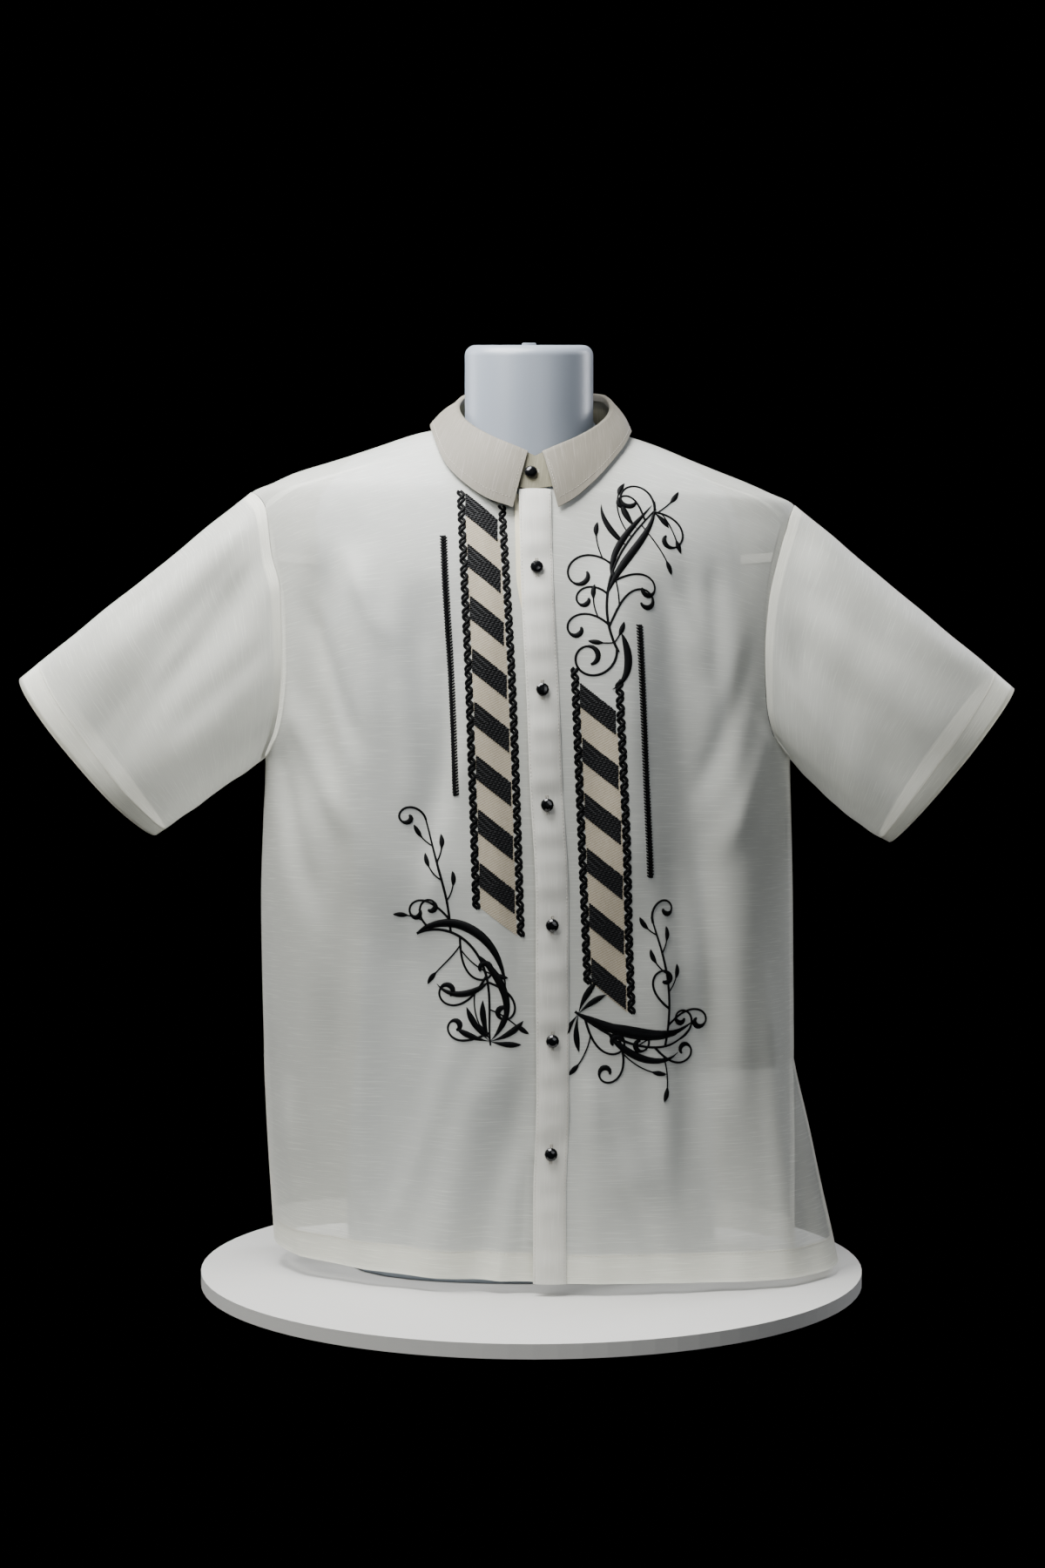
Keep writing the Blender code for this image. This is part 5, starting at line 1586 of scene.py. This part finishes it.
def braid_lines(finish):
    """Each line is a plait: short stitches that slant in to its middle from both sides."""
    thread = Thread()
    for nodes in BRAIDS:
        middle = along_path(nodes, 0.0013)
        for number, (x, height) in enumerate(middle[1:-1]):
            aside = BRAID_WIDTH if number % 2 else -BRAID_WIDTH
            flat = (
                (x + aside * 0.46, height + 0.0010),
                (x + aside * 0.22, height),
                (x - aside * 0.12, height - 0.0012),
            )
            stitch_path(thread, flat, (0.0012, 0.0019, 0.0012), (0.0003, 0.0009, 0.0004))
        stitch_path(thread, middle, np.full(len(middle), BRAID_WIDTH * 0.7), 0.0003)
    return thread.piece("braid_lines", finish)


# ---------------------------------------------------------------- sewing


MACHINE_PITCH = 0.0032
MACHINE_STITCH = 0.0023


def sew(thread, points, normals, width=0.00055):
    """A row of machine stitches along a line on the cloth."""
    steps = np.linalg.norm(np.diff(points, axis=0), axis=1)
    run = np.concatenate([[0], np.cumsum(steps)])
    starts = np.arange(0.0004, run[-1] - MACHINE_STITCH, MACHINE_PITCH)
    at = starts[:, None] + np.array((0.0, 0.5, 1.0)) * MACHINE_STITCH
    places, leans = (
        np.stack([np.interp(at, run, column) for column in line.T], -1)
        for line in (points, normals)
    )
    for place, lean in zip(places, unit(leans)):
        aside = unit(np.cross(unit(np.gradient(place, axis=0)), lean))
        widths = (width * 0.7, width, width * 0.7)
        laid(thread, place, aside, lean, widths, (0.0, 0.00035, 0.0), sink=0.0002)


def grid_normals(grid):
    across, down = np.gradient(grid, axis=1), np.gradient(grid, axis=0)
    leans = unit(np.cross(across, down))
    return leans * np.sign(leans[..., :2].mean(axis=(0, 1)).dot(grid[..., :2].mean(axis=(0, 1))))


STITCH_IN = 0.0015              # a hem's row of stitches runs this far inside its inner edge


def machine_stitches(finish):
    """The rows that hold the hems, slits, placket and collar."""
    thread = Thread()
    share = np.linspace(0.005, 0.995, 90)
    low = np.linspace(HEM + HEM_WIDTH, SLIT_TOP - 0.002, 50)
    above = np.array([HEM + HEM_WIDTH - STITCH_IN])
    inwards = np.array([1 - (SLIT_HEM_WIDTH - STITCH_IN) / FRONT_GIRTH])
    for side in (LEFT, RIGHT):
        for line, face in (
            (front_points(side, level_rows(above), share, 0.0)[0], FRONT),
            (front_points(side, level_rows(low), inwards, 0.0)[:, 0], FRONT),
            (back_points(low, side * inwards, 0.0)[:, 0], BACK),
        ):
            sew(thread, line, outward(face, line))
    behind = back_points(above, np.linspace(0.99, -0.99, 150), 0.0)[0]
    sew(thread, behind, outward(BACK, behind))
    for side in (LEFT, RIGHT):
        grid, normals = sleeve_grid(side)
        lower, part = cuff_rows(grid, np.array([SLEEVE_HEM_WIDTH - STITCH_IN]))
        sew(thread, ringed(between_rows(grid, lower, part))[0], ringed(normals[lower])[0])
    for across in (-0.90, 0.90):
        sew(thread, *placket_face(np.linspace(HEM + 0.001, NECK_FRONT, 200), across))
    outer, _ = fall_grid()
    leans = grid_normals(outer)
    row, last = len(outer) - 3, outer.shape[1] - 2
    for corners in (
        [(at, 1) for at in range(9, row)],
        [(row, at) for at in range(1, last + 1)],
        [(at, last) for at in range(row - 1, 8, -1)],
    ):
        rows, columns = zip(*corners)
        sew(thread, outer[rows, columns], leans[rows, columns], width=0.0005)
    return thread.piece("machine_stitches", finish)


BUTTONHOLE_LENGTH = 0.0165
BUTTONHOLE_WIDTH = 0.0030
STAND_HOLE = 0.86               # the length of the stand's buttonhole, as a share of the others'
SATIN = np.array((0.1, 0.55, 1.0)) * BUTTONHOLE_WIDTH / 2   # a stitch, from the slot outwards


def satin_stitch(thread, points, normals, aside, rise):
    aside = np.tile(np.array(aside), (3, 1))
    laid(thread, points, aside, normals, (0.0004, 0.0005, 0.0004), (0.0001, rise, 0.0001))


def buttonholes(finish):
    """Close satin stitches along both lips of each slot; the slot in the stand lies level."""
    thread = Thread()
    for height in BUTTON_HEIGHTS:
        for lip in (-1, 1):
            for step in np.linspace(-1, 1, 30) * BUTTONHOLE_LENGTH / 2:
                across = SATIN * lip / (PLACKET_WIDTH / 2)
                points, normals = placket_face(np.full(3, height + step), across)
                satin_stitch(thread, points, normals, (0.0, 0.0, 1.0), 0.0004)
    x, _, height = np.mean(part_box("button_1"), axis=0)
    for lip in (-1, 1):
        for step in np.linspace(-1, 1, 26) * BUTTONHOLE_LENGTH * STAND_HOLE / 2:
            places = [stand_point(x + step, height + lip * out) for out in SATIN]
            points, normals = (np.array(column) for column in zip(*places))
            satin_stitch(thread, points, normals, (1.0, 0.0, 0.0), 0.0005)
    return thread.piece("buttonholes", finish)


# ---------------------------------------------------------------- finishes


def linear(hex_colour):
    """An sRGB hex colour as linear RGBA."""
    parts = [int(hex_colour[start:start + 2], 16) / 255 for start in (1, 3, 5)]
    parts = [part / 12.92 if part <= 0.04045 else ((part + 0.055) / 1.055) ** 2.4 for part in parts]
    return (*parts, 1.0)


def node(tree, kind, settings=(), inputs=()):
    """Adds a node with its settings. An input is a value, or the output of another node."""
    made = tree.nodes.new(kind)
    for name, value in dict(settings).items():
        setattr(made, name, value)
    for name, value in dict(inputs).items():
        if isinstance(value, bpy.types.NodeSocket):
            tree.links.new(value, made.inputs[name])
        else:
            made.inputs[name].default_value = value
    return made


def maths(tree, operation, *inputs, **settings):
    settings["operation"] = operation
    return node(tree, "ShaderNodeMath", settings, dict(enumerate(inputs))).outputs[0]


def noise(tree, place, scale, detail, dimensions="3D", **inputs):
    inputs.update(Vector=place, Scale=scale, Detail=detail)
    return node(tree, "ShaderNodeTexNoise", {"noise_dimensions": dimensions}, inputs).outputs["Fac"]


def mixed(tree, share, first, second):
    inputs = {"Factor": share, "A": first, "B": second}
    return node(tree, "ShaderNodeMix", {"data_type": "RGBA"}, inputs).outputs["Result"]


def thread_lengths(tree):
    """The cloth's own UV: metres along its weft and its warp."""
    return node(tree, "ShaderNodeUVMap", {"uv_map": "threads"}).outputs["UV"]


def scaled(tree, place, scale):
    return node(tree, "ShaderNodeMapping", inputs={"Vector": place, "Scale": scale}).outputs[0]


def raised(tree, surface, height, strength, distance=0.0002):
    inputs = {"Strength": strength, "Distance": distance, "Height": height}
    bump = node(tree, "ShaderNodeBump", inputs=inputs)
    tree.links.new(bump.outputs["Normal"], surface.inputs["Normal"])


def new_finish(name, roughness, **sockets):
    made = bpy.data.materials.new(name)
    made.use_nodes = True
    surface = made.node_tree.nodes["Principled BSDF"]
    for socket, value in {"Roughness": roughness, **sockets}.items():
        surface.inputs[socket.replace("_", " ")].default_value = value
    return made, made.node_tree, surface


WEAVE_PITCH = 0.0009


def jusi(name, warp, weft, opacity, sheen=0.35, roughness=0.46, upright_slubs=False):
    """Woven silk or pineapple cloth: fine even threads with thicker slubs among the weft.

    The eye sees a slightly glossy, sheer white with faint lines along the slubs. Real threads
    lie 0.25 mm apart, too fine to show, so the weave is drawn at 0.9 mm.
    """
    made, tree, surface = new_finish(
        name, roughness, Sheen_Weight=sheen, Sheen_Roughness=0.35, Sheen_Tint=linear("#FFFDF6"),
        Specular_IOR_Level=0.42,
    )
    threads = thread_lengths(tree)
    stretch = (1100.0, 30.0, 1.0) if upright_slubs else (30.0, 1100.0, 1.0)
    slub = noise(tree, scaled(tree, threads, stretch), 1.0, 2.0, "2D", Roughness=0.6)
    # 0 in the thin threads, 1 along the thickest slubs
    lined = node(tree, "ShaderNodeMapRange", inputs={0: slub, 1: 0.54, 2: 0.80}).outputs[0]
    colour = mixed(tree, lined, linear(warp), linear(weft))
    tree.links.new(colour, surface.inputs["Base Color"])
    if opacity < 1:
        dense = maths(tree, "MULTIPLY_ADD", lined, 0.10, opacity)
        cloudy = noise(tree, threads, 14.0, 3.0, "2D")
        uneven = maths(tree, "MULTIPLY_ADD", cloudy, 0.08, dense, use_clamp=True)
        tree.links.new(uneven, surface.inputs["Alpha"])
    split = node(tree, "ShaderNodeSeparateXYZ", inputs={"Vector": threads})
    waves = (
        maths(tree, "SINE", maths(tree, "MULTIPLY", split.outputs[axis], 2 * math.pi / WEAVE_PITCH))
        for axis in "XY"
    )
    height = maths(tree, "MULTIPLY_ADD", maths(tree, "MULTIPLY", *waves), 0.25, lined)
    raised(tree, surface, height, 0.18)
    return made


def plain(name, colour, roughness, grain=0.0006, mottle=0.06, bump=0.1, **sockets):
    """A plain finish with a faint unevenness in its colour, gloss and surface."""
    made, tree, surface = new_finish(name, roughness, **sockets)
    place = node(tree, "ShaderNodeTexCoord").outputs["Object"]
    base = linear(colour)
    dark = tuple(channel * (1 - mottle) for channel in base[:3]) + (1.0,)
    patchy = mixed(tree, noise(tree, place, 1 / (grain * 12), 4.0), dark, base)
    tree.links.new(patchy, surface.inputs["Base Color"])
    if bump:
        raised(tree, surface, noise(tree, place, 1 / grain, 2.0), bump)
    return made


def woven(name, light, shade, dark, pitch=0.0011):
    """Counted stitches in a close basket weave, pale with darker holes between the threads; the
    holes' dark is painted shade.
    """
    made, tree, surface = new_finish(name, 0.8)
    cells = node(
        tree, "ShaderNodeTexBrick", {"offset": 0.5},
        {
            "Vector": scaled(tree, thread_lengths(tree), (1 / (pitch * 2), 1 / pitch, 1.0)),
            "Color1": linear(light), "Color2": linear(shade), "Mortar": linear(dark),
            "Mortar Size": 0.16, "Mortar Smooth": 0.6,
            "Scale": 1.0, "Brick Width": 1.0, "Row Height": 1.0,
        },
    )
    tree.links.new(cells.outputs["Color"], surface.inputs["Base Color"])
    raised(tree, surface, maths(tree, "SUBTRACT", 1.0, cells.outputs["Fac"]), 0.5, 0.0004)
    return made


# ---------------------------------------------------------------- the form's neck

NECK_CENTRE = (-0.002, -0.004)
NECK_LOW, NECK_TOP = 0.715, 0.8392
NECK_RADIUS = 0.0588
NECK_ROUNDING = 0.0095
NECK_SLOPE = 0.20               # its flat top falls towards the front


def neck_skin(finish):
    """A smooth moulded skin round the form's neck and over its rounded, sloping top."""
    bpy.ops.object.select_all(action="DESELECT")
    bpy.ops.mesh.primitive_cylinder_add(
        vertices=96, radius=NECK_RADIUS, depth=NECK_TOP - NECK_ROUNDING - NECK_LOW,
        location=(*NECK_CENTRE, (NECK_TOP - NECK_ROUNDING + NECK_LOW) / 2),
    )
    skin = bpy.context.object
    skin.name = "form_neck_skin"
    bpy.ops.object.transform_apply(location=True, rotation=False, scale=False)
    bpy.ops.object.mode_set(mode="EDIT")
    for way in (-1, 1):
        shape = bmesh.from_edit_mesh(skin.data)
        for face in shape.faces:
            face.select_set(face.normal.z * way > 0.9)
        bmesh.update_edit_mesh(skin.data)
        if way < 0:
            bpy.ops.mesh.delete(type="ONLY_FACE")
    wide, high = NECK_RADIUS, 0.0
    for turn in np.radians(np.linspace(0, 90, 10)[1:]):
        new_wide = NECK_RADIUS - NECK_ROUNDING * (1 - math.cos(turn))
        new_high = NECK_ROUNDING * math.sin(turn)
        bpy.ops.mesh.extrude_region_move(TRANSFORM_OT_translate={"value": (0, 0, new_high - high)})
        bpy.ops.transform.resize(
            value=(new_wide / wide, new_wide / wide, 1.0), center_override=(*NECK_CENTRE, 0.0),
        )
        wide, high = new_wide, new_high
    bpy.ops.mesh.inset(thickness=NECK_ROUNDING)
    shape = bmesh.from_edit_mesh(skin.data)
    for vertex in shape.verts:
        lean = ease((vertex.co.z - 0.80) / 0.026)
        vertex.co.z += float(NECK_SLOPE * (vertex.co.y - NECK_CENTRE[1]) * lean)
    bmesh.update_edit_mesh(skin.data)
    bpy.ops.object.mode_set(mode="OBJECT")
    bpy.ops.object.shade_smooth()
    skin.data.materials.append(finish)
    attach(skin, "root")
    return skin


# ---------------------------------------------------------------- floor, light and camera


def studio():
    bpy.ops.object.select_all(action="DESELECT")
    bpy.ops.mesh.primitive_cylinder_add(
        vertices=96, radius=0.30, depth=0.012, location=(0, 0, -0.0062),
    )
    floor = bpy.context.object
    floor.name = "floor"
    finish = plain("matte pale floor", "#D9D8D4", 0.85, grain=0.002, mottle=0.03, bump=0)
    floor.data.materials.append(finish)
    world = bpy.data.worlds.new("dark studio")
    bpy.context.scene.world = world
    world.use_nodes = True
    world.node_tree.nodes["Background"].inputs["Color"].default_value = (0.0, 0.0, 0.0, 1.0)
    lamps = (
        # name, place, aim, width, height, watts, colour
        ("key softbox", (-1.70, -1.60, 1.95), (-0.05, 0.0, 0.45), 0.8, 0.8, 32, "#FFFFFA"),
        ("fill softbox", (1.00, -2.50, 1.10), (0.0, 0.0, 0.40), 1.4, 1.4, 17, "#F8FBFF"),
        ("top softbox", (-0.42, -0.26, 1.66), (-0.06, 0.0, 0.60), 0.9, 0.7, 53, "#FFFFFF"),
        ("left edge light", (-1.60, 0.90, 1.30), (0.0, 0.0, 0.60), 0.5, 1.2, 14, "#F4F7FF"),
        ("right edge light", (1.50, 1.00, 1.40), (0.0, 0.0, 0.60), 0.5, 1.2, 20, "#F4F7FF"),
    )
    for name, place, aim, width, height, watts, colour in lamps:
        lamp = bpy.data.lights.new(name, "AREA")
        lamp.shape = "RECTANGLE"
        lamp.size, lamp.size_y = width, height
        lamp.energy = watts
        lamp.color = linear(colour)[:3]
        made = bpy.data.objects.new(name, lamp)
        made.location = place
        made.rotation_euler = (Vector(aim) - Vector(place)).to_track_quat("-Z", "Y").to_euler()
        bpy.context.scene.collection.objects.link(made)
    lens = bpy.data.cameras.new("camera")
    lens.lens = 50
    lens.sensor_width = 36
    lens.sensor_fit = "AUTO"
    camera = bpy.data.objects.new("camera", lens)
    camera.location = (-0.008, -2.0, 0.437)
    camera.rotation_euler = (math.radians(90), 0.0, 0.0)
    bpy.context.scene.collection.objects.link(camera)
    bpy.context.scene.camera = camera


def main():
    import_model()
    studio()
    sheer, sleeve_cloth, doubled, trim, collar_trim_painted_shade, stand_trim_painted_shade, band = (
        jusi(*row, upright_slubs=row[3] == 1)
        for row in (
            # name, warp, weft, opacity, sheen, roughness; only the opaque trims have upright slubs
            # the eye sees the form through one layer, and a paler, denser white where it is doubled
            ("jusi cloth, sheer", "#EFF0E7", "#FBFDF3", 0.52),
            ("jusi cloth, sleeves", "#EFF0E7", "#FBFDF3", 0.56),
            ("jusi cloth, turned in", "#FBF9EC", "#FFFEF4", 0.90),
            # matt, warm and dense: the placket stands out pale; the collar and the stand are darker
            # by painted shade
            ("piped silk trim, opaque", "#D8D7CF", "#E5E4DC", 1.0, 0.15, 0.6),
            # the collar's near-white silk is drawn in a dark grey-beige: painted shade
            ("slubbed silk collar cloth, painted shade", "#7D786C", "#98938A", 1.0, 0.1, 0.65),
            # the stand's dark tan is painted shade from the collar's fall, over a yellowish silk
            ("slubbed silk stand cloth, painted shade", "#78745F", "#918D78", 1.0, 0.1, 0.65),
            ("under band cloth", "#E3DBC0", "#EFE8CF", 1.0, 0.2, 0.55),
        )
    )
    form, thread, button, black, dark_ground = (
        plain(name, colour, roughness, grain, mottle, bump, Specular_IOR_Level=shine)
        for name, colour, roughness, grain, mottle, bump, shine in (
            # grain in metres, mottle and bump as shares, shine as the specular level
            # smooth and cool, with a soft highlight on the neck; the white form's grey colour is
            # painted shade for its neck's darker middle
            ("white moulded fibreglass, painted grey shade", "#969EA9", 0.36, 0.0006, 0.02, 0.04, 0.5),
            # an off-white that shows as fine dashes
            ("white sewing thread", "#C9C4B8", 0.70, 0.0004, 0.10, 0.30, 0.5),
            # glossy, with one sharp highlight on each button
            ("moulded black resin", "#0D0E10", 0.14, 0.0020, 0.20, 0.00, 0.5),
            # deep black with hardly a shine, over a greyer ground
            ("black rayon thread", "#07080A", 0.55, 0.0004, 0.40, 0.40, 0.08),
            ("dark ground threads", "#3A3B3D", 0.80, 0.0004, 0.30, 0.30, 0.5),
        )
    )
    # the last colour, in the holes between the threads, is painted shade
    cream = woven("cream cotton ground", "#D3C9B6", "#CABFA8", "#8A7D65")
    dressed = (
        (front_sheet("front_right_cloth", LEFT, sheer, doubled), "front_right"),
        (front_sheet("front_left_cloth", RIGHT, sheer, doubled), "front_left"),
        (back_sheet(sheer, doubled), "back"),
        (yoke_sheet(sheer), "yoke"),
        (sleeve_sheet("sleeve_right_cloth", LEFT, sleeve_cloth, doubled), "sleeve_right"),
        (sleeve_sheet("sleeve_left_cloth", RIGHT, sleeve_cloth, doubled), "sleeve_left"),
        (placket_strip(trim), "placket"),
        (band_strip(band), "button_band"),
        (collar_stand_band(stand_trim_painted_shade), "collar_stand"),
        (collar_fall_leaf(collar_trim_painted_shade), "collar_fall"),
    )
    for piece, replaced in dressed:
        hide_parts(replaced)
    for worked in (
        scroll_embroidery(black), chain_borders(black), band_stripes(black), braid_lines(black),
        stripe_ground(dark_ground), band_fill(cream), machine_stitches(thread), buttonholes(thread),
    ):
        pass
    neck_skin(form)
    carried = {"dress_form": form, "form_stub": form}
    carried.update({f"button_{number}": button for number in range(1, 8)})
    for name, finish in carried.items():
        for slot in bpy.data.objects[name].material_slots:
            slot.material = finish


main()
